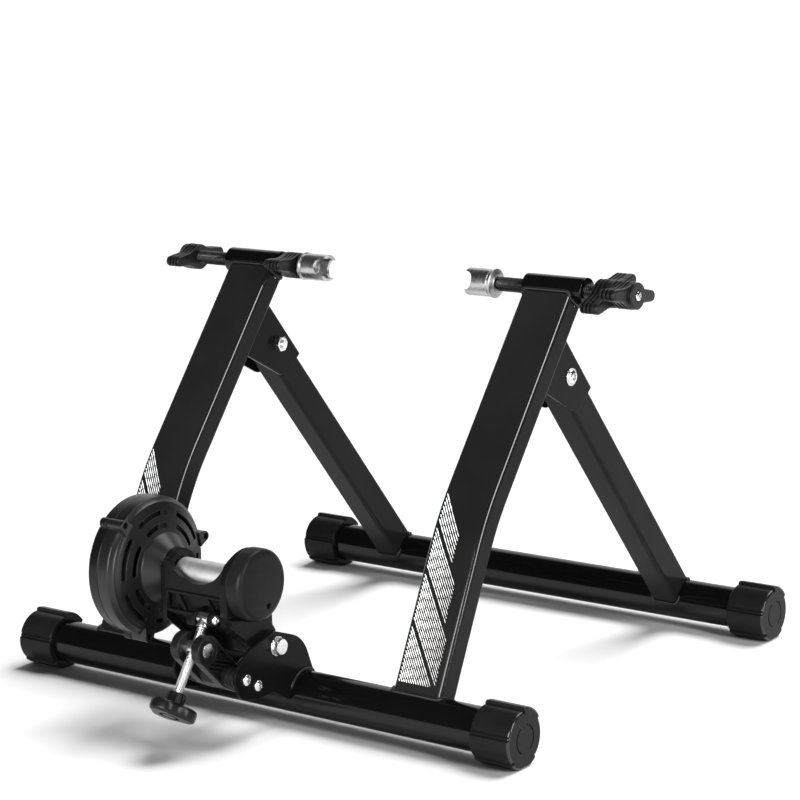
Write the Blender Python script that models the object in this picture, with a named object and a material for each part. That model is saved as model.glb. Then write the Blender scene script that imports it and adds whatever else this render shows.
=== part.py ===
"""Folding rear-wheel bicycle trainer with a magnetic roller unit.

Units are millimetres in the numbers below and metres in the scene. +X is the
rider's right, +Y is forward, +Z is up. The design origin used for the numbers
is on the floor under the rear base tube; the parent empty "trainer" moves the
whole model back so that the scene origin is under the middle of the bounding
box.
"""

import math

import bmesh
import bpy
from mathutils import Matrix, Vector

MM = 0.001
GAP = 0.3                      # clearance between neighbouring pieces

# ---------------------------------------------------------------- overall
Y_MID = 147.31                 # middle of the bounding box, from the rear tube
WIDTH = 545.0                  # over the end caps
TUBE_R = 19.05
TUBE_WALL = 1.8
TUBE_Z = 24.9                  # axis height of both base tubes
FRONT_Y = 422.4                # spacing of the two base tubes
CAP_LEN = 44.0
CAP_WALL = 4.0

# ---------------------------------------------------------------- uprights
UPRIGHT_X = 166.5
UPRIGHT_W = 50.0
UPRIGHT_D = 23.0
UPRIGHT_WALL = 1.6
KNEE = (74.5, 176.5)           # where the two straight runs would meet
KNEE_R = 260.0
CLAMP = (213.0, 354.5)         # axis of the clamp sleeves
SLEEVE_R = 12.1
SLEEVE_X = (138.5, 200.0)

# ---------------------------------------------------------------- front legs
FOLD = (213.5, 277.7)          # fold axis
LEG_X = 165.0
LEG_W = 25.4
LEG_D = 28.0
LEG_WALL = 1.6
BRACKET_X = (148.7, 181.3)
BRACKET_T = 2.8

# ---------------------------------------------------------------- clamps
SPINDLE_R = 6.5
CUP_R = 12.5
CUP_RIGHT = (76.8, 107.6)      # mouth and back
CUP_LEFT = (-83.2, -114.0)
KNOB_HUB_R = 12.0
KNOB_REACH = 34.0              # half the span of a T-handle
END_RIGHT = 232.0              # inner end of the right end knob
END_LEFT = -239.0
LOCK_RIGHT = 211.5
LOCK_LEFT = -134.5

# ---------------------------------------------------------------- resistance unit
ROLLER = (-53.0, 132.0)        # roller axis
ROLLER_R = 12.5
TILT = (-35.3, 74.9)           # axis on which the unit tilts
PLATE_RIGHT = (42.0, 45.0)
PLATE_LEFT = (-24.0, -21.0)
ROD_X = 10.0                   # plane of the adjuster rod
YOKE = (-84.5, 106.0)          # pin that ties the rod to the unit
EAR = (-99.9, 83.9)            # axis of the trunnion in the lever
SCREW_REAR = (-76.5, 55.9)
SCREW_FRONT = (-62.0, 47.3)
HOUSING_R = 60.0

ROD_DIR = Vector((0.0, EAR[0] - YOKE[0], EAR[1] - YOKE[1])).normalized()


# ================================================================ helpers
def clear_scene():
    for obj in list(bpy.data.objects):
        bpy.data.objects.remove(obj, do_unlink=True)


clear_scene()
SCENE = bpy.context.scene
SCENE.unit_settings.scale_length = 1.0
WORLD_OF = {}


def material(name, colour, roughness, metallic=0.0):
    mat = bpy.data.materials.new(name)
    mat.use_nodes = True
    bsdf = mat.node_tree.nodes["Principled BSDF"]
    bsdf.inputs["Base Color"].default_value = (*colour, 1.0)
    bsdf.inputs["Roughness"].default_value = roughness
    bsdf.inputs["Metallic"].default_value = metallic
    mat.diffuse_color = (*colour, 1.0)
    return mat


def empty(name, at, parent=None):
    obj = bpy.data.objects.new(name, None)
    obj.empty_display_size = 0.02
    SCENE.collection.objects.link(obj)
    WORLD_OF[name] = Vector(at)
    base = WORLD_OF[parent.name] if parent else Vector((0, 0, 0))
    obj.parent = parent
    obj.location = (Vector(at) - base) * MM
    return obj


def finish_mesh(bm, name):
    bmesh.ops.remove_doubles(bm, verts=bm.verts, dist=1e-7)
    bmesh.ops.recalc_face_normals(bm, faces=bm.faces)
    mesh = bpy.data.meshes.new(name)
    bm.to_mesh(mesh)
    bm.free()
    mesh.shade_smooth()
    mesh.set_sharp_from_angle(angle=math.radians(35))
    return mesh


def put(name, bm, at, parent, mat, turn=None):
    """A visible piece. at is the piece's own origin in design millimetres."""
    obj = bpy.data.objects.new(name, finish_mesh(bm, name))
    obj.data.materials.append(mat)
    SCENE.collection.objects.link(obj)
    obj.parent = parent
    obj.location = (Vector(at) - WORLD_OF[parent.name]) * MM
    if turn is not None:
        obj.rotation_euler = turn
    WORLD_OF[name] = Vector(at)
    return obj


def helper(name, bm, target):
    """A hidden mesh that shares the frame of the piece it works on."""
    obj = bpy.data.objects.new(name, finish_mesh(bm, name))
    SCENE.collection.objects.link(obj)
    obj.parent = target
    obj.hide_render = True
    obj.display_type = "WIRE"
    return obj


def boolean(target, bm, operation, tag):
    other = helper(f"{target.name}_{tag}", bm, target)
    mod = target.modifiers.new(tag, "BOOLEAN")
    mod.operation = operation
    mod.solver = "EXACT"
    mod.object = other
    return other


def cut(target, bm, tag="cut"):
    return boolean(target, bm, "DIFFERENCE", tag)


def join(target, bm, tag="join"):
    return boolean(target, bm, "UNION", tag)


# ---- outlines, as lists of (y, z) -------------------------------------
def circle(cy, cz, r, n=24, start=0.0):
    return [
        (cy + r * math.cos(start + 2 * math.pi * k / n), cz + r * math.sin(start + 2 * math.pi * k / n))
        for k in range(n)
    ]


def hull(points):
    points = sorted(set((round(p[0], 6), round(p[1], 6)) for p in points))

    def half(sequence):
        chain = []
        for p in sequence:
            while len(chain) > 1 and (
                (chain[-1][0] - chain[-2][0]) * (p[1] - chain[-2][1])
                - (chain[-1][1] - chain[-2][1]) * (p[0] - chain[-2][0])
            ) <= 1e-9:
                chain.pop()
            chain.append(p)
        return chain[:-1]

    return half(points) + half(points[::-1])


def fillet(corners, steps=4):
    """Rounds a polygon of (y, z, radius) corners."""
    out = []
    count = len(corners)
    for k in range(count):
        y, z, r = corners[k]
        p = Vector((y, z))
        a = (Vector(corners[k - 1][:2]) - p)
        b = (Vector(corners[(k + 1) % count][:2]) - p)
        if r <= 0:
            out.append((y, z))
            continue
        angle = a.angle(b)
        reach = min(r / math.tan(angle / 2), 0.49 * a.length, 0.49 * b.length)
        r = reach * math.tan(angle / 2)
        a.normalize()
        b.normalize()
        centre = p + (a + b).normalized() * (r / math.sin(angle / 2))
        first, last = p + a * reach - centre, p + b * reach - centre
        sweep = math.atan2(first.x * last.y - first.y * last.x, first.dot(last))
        for s in range(steps + 1):
            t = sweep * s / steps
            out.append((
                centre.x + first.x * math.cos(t) - first.y * math.sin(t),
                centre.y + first.x * math.sin(t) + first.y * math.cos(t),
            ))
    return out


# ---- solids ------------------------------------------------------------
def prism(outline, x0, x1, bm=None, at=(0.0, 0.0, 0.0)):
    """Outline in the YZ plane, extruded from x0 to x1; at is taken off."""
    bm = bm or bmesh.new()
    low = [bm.verts.new(((x0 - at[0]) * MM, (y - at[1]) * MM, (z - at[2]) * MM)) for y, z in outline]
    high = [bm.verts.new(((x1 - at[0]) * MM, (y - at[1]) * MM, (z - at[2]) * MM)) for y, z in outline]
    bm.faces.new(low)
    bm.faces.new(high[::-1])
    for k in range(len(low)):
        j = (k + 1) % len(low)
        bm.faces.new((low[k], low[j], high[j], high[k]))
    return bm


def box(x, y, z, bm=None, at=(0.0, 0.0, 0.0)):
    return prism([(y[0], z[0]), (y[1], z[0]), (y[1], z[1]), (y[0], z[1])], x[0], x[1], bm, at)


def lathe(profile, n=24, bm=None, centre=(0.0, 0.0), matrix=None, start=0.0):
    """Turns a closed profile of (x, r) points about the X axis at centre."""
    bm = bm or bmesh.new()
    rings = []
    for x, r in profile:
        if r < 1e-6:
            rings.append([bm.verts.new((x * MM, centre[0] * MM, centre[1] * MM))])
            continue
        rings.append([
            bm.verts.new((
                x * MM,
                (centre[0] + r * math.cos(start + 2 * math.pi * k / n)) * MM,
                (centre[1] + r * math.sin(start + 2 * math.pi * k / n)) * MM,
            ))
            for k in range(n)
        ])
    made = [v for ring in rings for v in ring]
    for a, b in zip(rings, rings[1:] + rings[:1]):
        if len(a) == 1 and len(b) == 1:
            continue
        for k in range(n):
            j = (k + 1) % n
            if len(a) == 1:
                bm.faces.new((a[0], b[j], b[k]))
            elif len(b) == 1:
                bm.faces.new((a[k], a[j], b[0]))
            else:
                bm.faces.new((a[k], a[j], b[j], b[k]))
    if matrix is not None:
        bmesh.ops.transform(bm, matrix=matrix, verts=made)
    return bm


def rod(x0, x1, r, n=24, bm=None, centre=(0.0, 0.0), matrix=None, start=0.0):
    return lathe([(x0, 0), (x0, r), (x1, r), (x1, 0)], n, bm, centre, matrix, start)


def pipe(x0, x1, r, bore, n=24, bm=None, centre=(0.0, 0.0)):
    return lathe([(x0, bore), (x0, r), (x1, r), (x1, bore)], n, bm, centre)


def rect_section(half_w, half_d, r, steps):
    """Rounded rectangle as (x, normal) pairs."""
    if r <= 0:
        return [(half_w, half_d), (-half_w, half_d), (-half_w, -half_d), (half_w, -half_d)]
    return fillet([(half_w, half_d, r), (-half_w, half_d, r), (-half_w, -half_d, r), (half_w, -half_d, r)], steps)


def rect_tube(stations, half_w, half_d, corner, wall, steps=3):
    """Open-ended rectangular tube along (y, z, direction) stations in the YZ plane."""
    bm = bmesh.new()
    rings = []
    outer = rect_section(half_w, half_d, corner, steps)
    inner = rect_section(half_w - wall, half_d - wall, max(corner - wall, 0.4), steps)
    for section, order in ((outer, stations), (inner, stations[::-1])):
        for y, z, lean in order:
            normal = (math.cos(lean), -math.sin(lean))
            rings.append([
                bm.verts.new((u * MM, (y + v * normal[0]) * MM, (z + v * normal[1]) * MM))
                for u, v in section
            ])
    for a, b in zip(rings, rings[1:] + rings[:1]):
        for k in range(len(a)):
            j = (k + 1) % len(a)
            bm.faces.new((a[k], a[j], b[j], b[k]))
    return bm


def hex_rod(x0, x1, flats, bm=None, centre=(0.0, 0.0), start=0.0):
    return rod(x0, x1, flats / math.sqrt(3), 6, bm, centre, start=start)


# ================================================================ materials
BLACK_PAINT = (0.012, 0.012, 0.013)
BLACK_PLASTIC = (0.03, 0.03, 0.032)
STEEL = (0.62, 0.62, 0.63)


def paint(name):
    return material(name, BLACK_PAINT, 0.22)


def plastic(name, shade=0.03, roughness=0.5):
    return material(name, (shade, shade, shade * 1.05), roughness)


def steel(name, roughness=0.25):
    return material(name, STEEL, roughness, 1.0)


# ================================================================ tree of empties
trainer = empty("trainer", (0, 0, 0))
WORLD_OF["trainer"] = Vector((0, 0, 0))
trainer.location = (0, -Y_MID * MM, 0)

fold_axis = empty("front_fold_axis", (0, *FOLD), trainer)
tilt_axis = empty("unit_tilt_axis", (0, *TILT), trainer)
yoke_axis = empty("yoke_axis", (ROD_X, *YOKE), tilt_axis)
rod_axis = empty("adjuster_axis", (ROD_X, *YOKE), yoke_axis)
roller_axis = empty("roller_axis", (0, *ROLLER), tilt_axis)
ear_axis = empty("trunnion_axis", (ROD_X, *EAR), trainer)
clamp_right = empty("clamp_right_axis", (0, *CLAMP), trainer)
clamp_left = empty("clamp_left_axis", (0, *CLAMP), trainer)

# ================================================================ base tubes
half = WIDTH / 2
TUBE_END = half - CAP_WALL - GAP


def base_tube(name, y, parent):
    at = (0, y, TUBE_Z)
    return put(name, pipe(-TUBE_END, TUBE_END, TUBE_R, TUBE_R - TUBE_WALL, 32), at, parent, paint(name))


base_tube("rear_base_tube", 0.0, trainer)
base_tube("front_base_tube", FRONT_Y, fold_axis)


# ================================================================ end caps
# Each cap is a five-sector cam: turning it a fifth of a turn changes the
# height of that foot. The list gives each sector's height over the tube axis.
CAP_SECTORS = ((270, 24.9, 7.0), (342, 23.6, 4.0), (54, 26.3, 4.0), (126, 22.9, 4.0), (198, 24.4, 4.0))
CAP_GROOVE_R = 21.4
CAP_GROOVE_HALF = math.radians(3.2)


def cap_outline():
    out = []
    for middle, height, half_flat in CAP_SECTORS:
        mid = math.radians(middle)
        r = math.hypot(height, half_flat)
        flat = math.atan2(half_flat, height)
        edge = math.radians(36) - CAP_GROOVE_HALF
        angles = [-edge + (edge - flat) * s / 3 for s in range(4)]
        angles += [flat + (edge - flat) * s / 3 for s in range(4)]
        out.append((CAP_GROOVE_R * math.cos(mid - edge), CAP_GROOVE_R * math.sin(mid - edge)))
        out += [(r * math.cos(mid + a), r * math.sin(mid + a)) for a in angles]
        out.append((CAP_GROOVE_R * math.cos(mid + edge), CAP_GROOVE_R * math.sin(mid + edge)))
    return out


def end_cap(name, side, y, parent):
    at = (side * half, y, TUBE_Z)
    inner = -side * CAP_LEN
    cap = put(name, prism(cap_outline(), inner, 0.0), at, parent, plastic(name, 0.028, 0.55))
    cut(cap, rod(min(inner * 1.1, -side * CAP_WALL), max(inner * 1.1, -side * CAP_WALL), TUBE_R + GAP, 32), "bore")
    return cap


for side, word in ((1, "right"), (-1, "left")):
    end_cap(f"end_cap_rear_{word}", side, 0.0, trainer)
    end_cap(f"end_cap_front_{word}", side, FRONT_Y, fold_axis)


# ================================================================ uprights and sleeves
def upright_stations():
    low = Vector((0.0, TUBE_Z))
    knee = Vector(KNEE)
    top = Vector(CLAMP)
    lean_low = math.atan2(knee.x - low.x, knee.y - low.y)
    lean_top = math.atan2(top.x - knee.x, top.y - knee.y)
    reach = KNEE_R * math.tan((lean_top - lean_low) / 2)
    d0 = (knee - low).normalized()
    d1 = (top - knee).normalized()
    start = knee - d0 * reach
    stations = [(low.x, low.y, lean_low)]
    steps = 6
    centre = start + Vector((d0.y, -d0.x)) * KNEE_R
    for s in range(steps + 1):
        lean = lean_low + (lean_top - lean_low) * s / steps
        stations.append((centre.x - KNEE_R * math.cos(lean), centre.y + KNEE_R * math.sin(lean), lean))
    stations.append((top.x, top.y, lean_top))
    return stations


def upright(name, side):
    at = (side * UPRIGHT_X, 0, 0)
    obj = put(name, rect_tube(upright_stations(), UPRIGHT_W / 2, UPRIGHT_D / 2, 4.0, UPRIGHT_WALL, 2), at, trainer, paint(name))
    cut(obj, rod(-60, 60, TUBE_R + GAP, 40, centre=(0.0, TUBE_Z)), "saddle_low")
    cut(obj, rod(-60, 60, SLEEVE_R + GAP, 32, centre=CLAMP), "saddle_top")
    return obj


def sleeve(name, side):
    at = (side * sum(SLEEVE_X) / 2, *CLAMP)
    span = (SLEEVE_X[1] - SLEEVE_X[0]) / 2
    return put(name, pipe(-span, span, SLEEVE_R, SPINDLE_R + GAP, 28), at, trainer, paint(name))


for side, word in ((1, "right"), (-1, "left")):
    upright(f"upright_{word}", side)
    sleeve(f"clamp_sleeve_{word}", side)

# ================================================================ fold: brackets, legs, bolts
LEG_LEAN = math.atan2(FRONT_Y - FOLD[0], TUBE_Z - FOLD[1])     # direction of the leg, from +Z
LEG_DIR = Vector((FRONT_Y - FOLD[0], TUBE_Z - FOLD[1])).normalized()
LEG_FRONT = Vector((-LEG_DIR.y, LEG_DIR.x))                     # normal of the leg's upper face


def along_leg(s, n):
    p = Vector(FOLD) + LEG_DIR * s + LEG_FRONT * n
    return (p.x, p.y)


UP_TOP = (Vector(CLAMP) - Vector(KNEE)).normalized()
UP_FRONT = Vector((UP_TOP.y, -UP_TOP.x))


def upright_front(s, n=UPRIGHT_D / 2 + GAP):
    """A point s mm down the upper run from the clamp axis, on its front face."""
    p = Vector(CLAMP) - UP_TOP * s + UP_FRONT * n
    return (p.x, p.y)


WEB_OUT = LEG_D / 2 + 0.5 + BRACKET_T


def bracket_outline():
    # top corner where the bracket's front face meets the upright
    target = Vector(along_leg(0, WEB_OUT))
    base = Vector(upright_front(0))
    # solve base - UP_TOP * a = target + LEG_DIR * b
    det = -UP_TOP.x * -LEG_DIR.y - -LEG_DIR.x * -UP_TOP.y
    rhs = target - base
    a = (rhs.x * -LEG_DIR.y - -LEG_DIR.x * rhs.y) / det
    top = base - UP_TOP * a
    low = upright_front(a + 58.0)
    tip = along_leg(32.4, WEB_OUT)
    return [
        (top.x, top.y, 0.0),
        (*tip, 3.0),
        (*along_leg(33.5, -14.0), 10.0),
        (*low, 0.0),
    ]


def bracket(name, side):
    at = (side * LEG_X, *FOLD)
    span = (BRACKET_X[1] - BRACKET_X[0]) / 2
    outline = fillet(bracket_outline(), 6)
    obj = put(name, prism(outline, -span, span, at=(0, *FOLD)), at, trainer, paint(name))
    inside = span - BRACKET_T
    # the channel: everything behind the front web, between the side plates
    channel = [along_leg(-90, WEB_OUT - BRACKET_T), along_leg(80, WEB_OUT - BRACKET_T), along_leg(80, -90), along_leg(-90, -90)]
    bm = prism(channel, -inside, inside, at=(0, *FOLD))
    cut(obj, bm, "channel")
    cut(obj, rod(-40, 40, 4.0 + GAP, 20), "holes")
    return obj


def leg(name, side):
    at = (side * LEG_X, *FOLD)
    length = (Vector((FRONT_Y, TUBE_Z)) - Vector(FOLD)).length
    lean = math.atan2(LEG_DIR.x, LEG_DIR.y)
    stations = [
        (LEG_DIR.x * s, LEG_DIR.y * s, lean)
        for s in (-LEG_D / 2, length)
    ]
    obj = put(name, rect_tube(stations, LEG_W / 2, LEG_D / 2, 3.5, LEG_WALL, 2), at, fold_axis, paint(name))
    foot = Vector((FRONT_Y, TUBE_Z)) - Vector(FOLD)
    cut(obj, rod(-40, 40, TUBE_R + GAP, 40, centre=(foot.x, foot.y)), "saddle")
    # rounded top end: what lies above the pivot and outside its round end goes
    keep = LEG_D / 2
    ring = [(LEG_DIR * (-keep * math.sin(math.radians(a))) + LEG_FRONT * (keep * math.cos(math.radians(a)))) for a in range(0, 181, 15)]
    shape = [LEG_FRONT * (keep + 6)] + ring + [-LEG_FRONT * (keep + 6), -LEG_FRONT * (keep + 6) - LEG_DIR * (keep + 6), LEG_FRONT * (keep + 6) - LEG_DIR * (keep + 6)]
    cut(obj, prism([(p.x, p.y) for p in shape], -30, 30), "round_end")
    cut(obj, rod(-30, 30, 4.0 + GAP, 20), "bore")
    return obj


def fold_bolt(name, side):
    """Button-head bolt from the outer side, plain shank, thread at the inner end."""
    at = (side * LEG_X, *FOLD)
    span = (BRACKET_X[1] - BRACKET_X[0]) / 2
    s = side
    profile = [
        (s * -(span + 9.0), 0), (s * -(span + 9.0), 3.6), (s * -(span + 8.4), 4.0), (s * (span + GAP), 4.0), (s * (span + GAP), 7.6),
        (s * (span + 1.6), 7.4), (s * (span + 3.6), 5.6), (s * (span + 4.4), 3.2), (s * (span + 4.4), 0),
    ]
    obj = put(name, lathe(profile, 20), at, trainer, steel(name))
    cut(obj, hex_rod(min(s * (span + 2.2), s * (span + 8)), max(s * (span + 2.2), s * (span + 8)), 4.6), "socket")
    return obj


def fold_nut(name, side):
    at = (side * (LEG_X - (BRACKET_X[1] - BRACKET_X[0]) / 2 - GAP), *FOLD)
    s = -side
    obj = put(name, hex_rod(min(0, s * 6.4), max(0, s * 6.4), 13.0), at, trainer, steel(name))
    cut(obj, rod(-10, 10, 4.0 + GAP, 16), "bore")
    return obj


for side, word in ((1, "right"), (-1, "left")):
    bracket(f"hinge_bracket_{word}", side)
    leg(f"leg_{word}", side)
    fold_bolt(f"fold_bolt_{word}", side)
    fold_nut(f"fold_nut_{word}", side)


# ================================================================ clamps
def handle_outline(turn):
    """T-handle: a round hub with two arms that swell into it."""
    quarter = [(KNOB_REACH - 5 + 5 * math.cos(math.radians(f)), 5 * math.sin(math.radians(f))) for f in (0, 30, 60, 90)]
    quarter += [(16.0, 6.0), (12.4, 7.2)]
    quarter += [(KNOB_HUB_R * math.cos(math.radians(f)), KNOB_HUB_R * math.sin(math.radians(f))) for f in (44, 60, 75, 90)]
    half_shape = quarter + [(-u, v) for u, v in quarter[-2::-1]]
    shape = half_shape + [(u, -v) for u, v in half_shape[-2:0:-1]]
    c, s = math.cos(turn), math.sin(turn)
    return [(u * c - v * s, u * s + v * c) for u, v in shape]


def cup(name, mouth, back, parent, s):
    """Steel cup. s is +1 where its back points to +X."""
    at = (mouth, *CLAMP)
    depth = abs(back - mouth)

    def p(d, r):
        return (s * d, r)

    profile = [
        p(18.5, 0), p(18.5, 9.4), p(0.0, 9.4), p(0.0, CUP_R), p(19.5, CUP_R), p(20.5, 11.3),
        p(21.8, 13.3), p(26.0, 13.3), p(depth, 9.6), p(depth, 5.1), p(21.5, 5.1), p(21.5, 0),
    ]
    # the back wall carries a blind socket for the spindle's nose
    obj = put(name, lathe(profile, 24), at, parent, steel(name, 0.3))
    notch = rod(-20, 20, 18.0, 36, matrix=Matrix.Rotation(math.radians(90), 4, "Z"))
    other = cut(obj, notch, "notch")
    other.location = (-s * 14.2 * MM, 0, 0)
    return obj


def spindle(name, nose, inner, parent, s):
    """Threaded spindle: its nose turns in the cup, its far end carries the end knob."""
    at = (nose, *CLAMP)
    neck = abs(inner - nose) + 2.5
    end = neck + 10.5
    profile = [
        (0, 0), (0, 4.4), (s * 0.4, 4.8), (s * 8.6, 4.8), (s * 8.6, 6.0), (s * 9.2, SPINDLE_R),
        (s * neck, SPINDLE_R), (s * neck, 5.0), (s * end, 5.0), (s * end, 0),
    ]
    obj = put(name, lathe(profile, 24), at, parent, material(name, (0.04, 0.04, 0.042), 0.35, 0.9))
    cut(obj, rod(min(s * (end - 8), s * (end + 4)), max(s * (end - 8), s * (end + 4)), 2.0 + GAP, 12), "tapped_end")
    return obj


def end_knob(name, inner, s, parent, turn):
    """T-handle fixed on the spindle's outer end, with a raised hub face."""
    at = (inner, *CLAMP)
    x0, x1 = sorted((0.0, s * 16.0))
    obj = put(name, prism(handle_outline(turn), x0, x1), at, parent, plastic(name, 0.03, 0.5))
    x0, x1 = sorted((s * 10.0, s * 19.0))
    join(obj, rod(x0, x1, 11.6, 28), "hub_face")
    x0, x1 = sorted((-s * 5.0, s * 3.0))
    cut(obj, rod(x0, x1, SPINDLE_R + GAP, 24), "mouth")
    x0, x1 = sorted((s * 2.5, s * 13.4))
    cut(obj, rod(x0, x1, 5.0 + GAP, 20), "seat")
    x0, x1 = sorted((s * 12.0, s * 24.0))
    cut(obj, rod(x0, x1, 2.0 + GAP, 12), "screw_hole")
    return obj


def knob_screw(name, inner, s, parent):
    at = (inner, *CLAMP)
    face = 19.0 + GAP
    profile = [(s * 7.0, 0), (s * 7.0, 2.0), (s * face, 2.0), (s * face, 4.2), (s * (face + 1.2), 3.9), (s * (face + 2.0), 2.2), (s * (face + 2.0), 0)]
    obj = put(name, lathe(profile, 16), at, parent, steel(name))
    x0, x1 = sorted((s * (face + 0.8), s * (face + 5)))
    cut(obj, hex_rod(x0, x1, 2.2), "socket")
    return obj


def lock_knob(name, inner, parent, turn):
    """Jam nut with the same two arms, running on the spindle's thread."""
    at = (inner, *CLAMP)
    obj = put(name, prism(handle_outline(turn), 0.0, 18.5), at, parent, plastic(name, 0.03, 0.5))
    cut(obj, rod(-5.0, 25.0, SPINDLE_R + GAP, 24), "thread")
    return obj


cup("cup_right", *CUP_RIGHT, clamp_right, 1)
spindle("spindle_right", CUP_RIGHT[1] - 8.0, END_RIGHT, clamp_right, 1)
end_knob("end_knob_right", END_RIGHT, 1, clamp_right, math.radians(-8))
knob_screw("knob_screw_right", END_RIGHT, 1, clamp_right)
lock_knob("lock_knob_right", LOCK_RIGHT, clamp_right, math.radians(18))

cup("cup_left", *CUP_LEFT, clamp_left, -1)
spindle("spindle_left", CUP_LEFT[1] + 8.0, END_LEFT, clamp_left, -1)
end_knob("end_knob_left", END_LEFT, -1, clamp_left, math.radians(2))
knob_screw("knob_screw_left", END_LEFT, -1, clamp_left)
lock_knob("lock_knob_left", LOCK_LEFT, clamp_left, math.radians(-8))

# ================================================================ plates on the rear tube
PLATE = [
    (-84, 40, 12), (-93, 62, 12), (-71, 80, 14), (-36, 88, 14), (1, 74, 34), (16, 36, 4),
    (4, 22, 0), (-14, 20, 0), (-41, 36, 6), (-62, 35, 10),
]


def unit_plate(name, span):
    at = (sum(span) / 2, 0, TUBE_Z)
    half_t = (span[1] - span[0]) / 2
    obj = put(name, prism(fillet(PLATE, 4), -half_t, half_t, at=(0, 0, TUBE_Z)), at, trainer, paint(name))
    cut(obj, rod(-20, 20, TUBE_R + GAP, 48), "saddle")
    bm = rod(-20, 20, 4.0 + GAP, 16, centre=(TILT[0], TILT[1] - TUBE_Z))
    rod(-20, 20, 2.5 + GAP, 12, bm, centre=(SCREW_REAR[0], SCREW_REAR[1] - TUBE_Z))
    rod(-20, 20, 2.5 + GAP, 12, bm, centre=(SCREW_FRONT[0], SCREW_FRONT[1] - TUBE_Z))
    cut(obj, bm, "holes")
    return obj


unit_plate("unit_plate_right", PLATE_RIGHT)
unit_plate("unit_plate_left", PLATE_LEFT)

# ---- lever that holds the trunnion -------------------------------------
LEVER_X = (PLATE_LEFT[1] + GAP, PLATE_RIGHT[0] - GAP)
EAR_GAP = 7.0
EAR_T = 8.5
EAR_R = 12.5


def lever():
    at = (ROD_X, *EAR)

    def local(points):
        return [(y - EAR[0], z - EAR[1]) for y, z in points]

    cheek = local(hull(circle(*EAR, EAR_R, 28) + circle(*SCREW_REAR, 9.5, 20) + circle(*SCREW_FRONT, 9.0, 20)))
    obj = put("adjuster_lever", prism(cheek, EAR_GAP, EAR_GAP + EAR_T), at, trainer, plastic("adjuster_lever", 0.022, 0.42))
    join(obj, prism(cheek, -EAR_GAP - EAR_T, -EAR_GAP), "cheek")
    core = local(hull(circle(*SCREW_REAR, 9.2, 20) + circle(*SCREW_FRONT, 8.7, 20) + [(-92.0, 66.0), (-84.0, 74.0)]))
    join(obj, prism(core, -EAR_GAP - 2.0, EAR_GAP + 2.0), "core")
    boss = local(hull(circle(*SCREW_REAR, 8.8, 20) + circle(*SCREW_FRONT, 8.2, 20)))
    join(obj, prism(boss, LEVER_X[0] - ROD_X, LEVER_X[1] - ROD_X), "boss")
    bm = rod(-60, 60, 2.5 + GAP, 12, centre=(SCREW_REAR[0] - EAR[0], SCREW_REAR[1] - EAR[1]))
    rod(-60, 60, 2.5 + GAP, 12, bm, centre=(SCREW_FRONT[0] - EAR[0], SCREW_FRONT[1] - EAR[1]))
    rod(-60, 60, 6.5 + GAP, 24, bm)
    cut(obj, bm, "bores")
    return obj


lever()


def cross_bolt(name, centre, r, head_r, head_h, nut_flats, hexagon):
    """Bolt across both plates, head on the right, thread past the left plate."""
    at = (PLATE_RIGHT[1] + GAP, *centre)
    tail = PLATE_LEFT[0] - GAP - at[0] - nut_flats * 0.42 - 2.0
    if hexagon:
        bm = rod(tail, 0.0, r, 20)
        obj = put(name, bm, at, trainer, steel(name))
        join(obj, hex_rod(-0.0001, head_h, head_r * 2, start=math.radians(12)), "head")
        return obj
    profile = [(tail, 0), (tail, r), (0.0, r), (0.0, head_r), (head_h * 0.55, head_r * 0.92), (head_h, head_r * 0.5), (head_h, 0)]
    obj = put(name, lathe(profile, 16), at, trainer, steel(name))
    cut(obj, hex_rod(head_h * 0.45, head_h + 4, head_r * 0.75), "socket")
    return obj


def cross_nut(name, centre, r, flats):
    at = (PLATE_LEFT[0] - GAP, *centre)
    obj = put(name, hex_rod(-flats * 0.42, 0.0, flats), at, trainer, steel(name))
    cut(obj, rod(-20, 20, r + GAP, 12), "bore")
    return obj


cross_bolt("unit_pivot_bolt", TILT, 4.0, 7.2, 5.4, 13.0, True)
cross_nut("unit_pivot_nut", TILT, 4.0, 13.0)
cross_bolt("lever_bolt_rear", SCREW_REAR, 2.5, 4.6, 2.8, 8.0, False)
cross_nut("lever_nut_rear", SCREW_REAR, 2.5, 8.0)
cross_bolt("lever_bolt_front", SCREW_FRONT, 2.5, 4.6, 2.8, 8.0, False)
cross_nut("lever_nut_front", SCREW_FRONT, 2.5, 8.0)

# ================================================================ resistance unit body
FLANGE_L = (-49.0, -41.0)
FLANGE_R = (24.0, 32.0)
BEARING_R = 11.0


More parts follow.
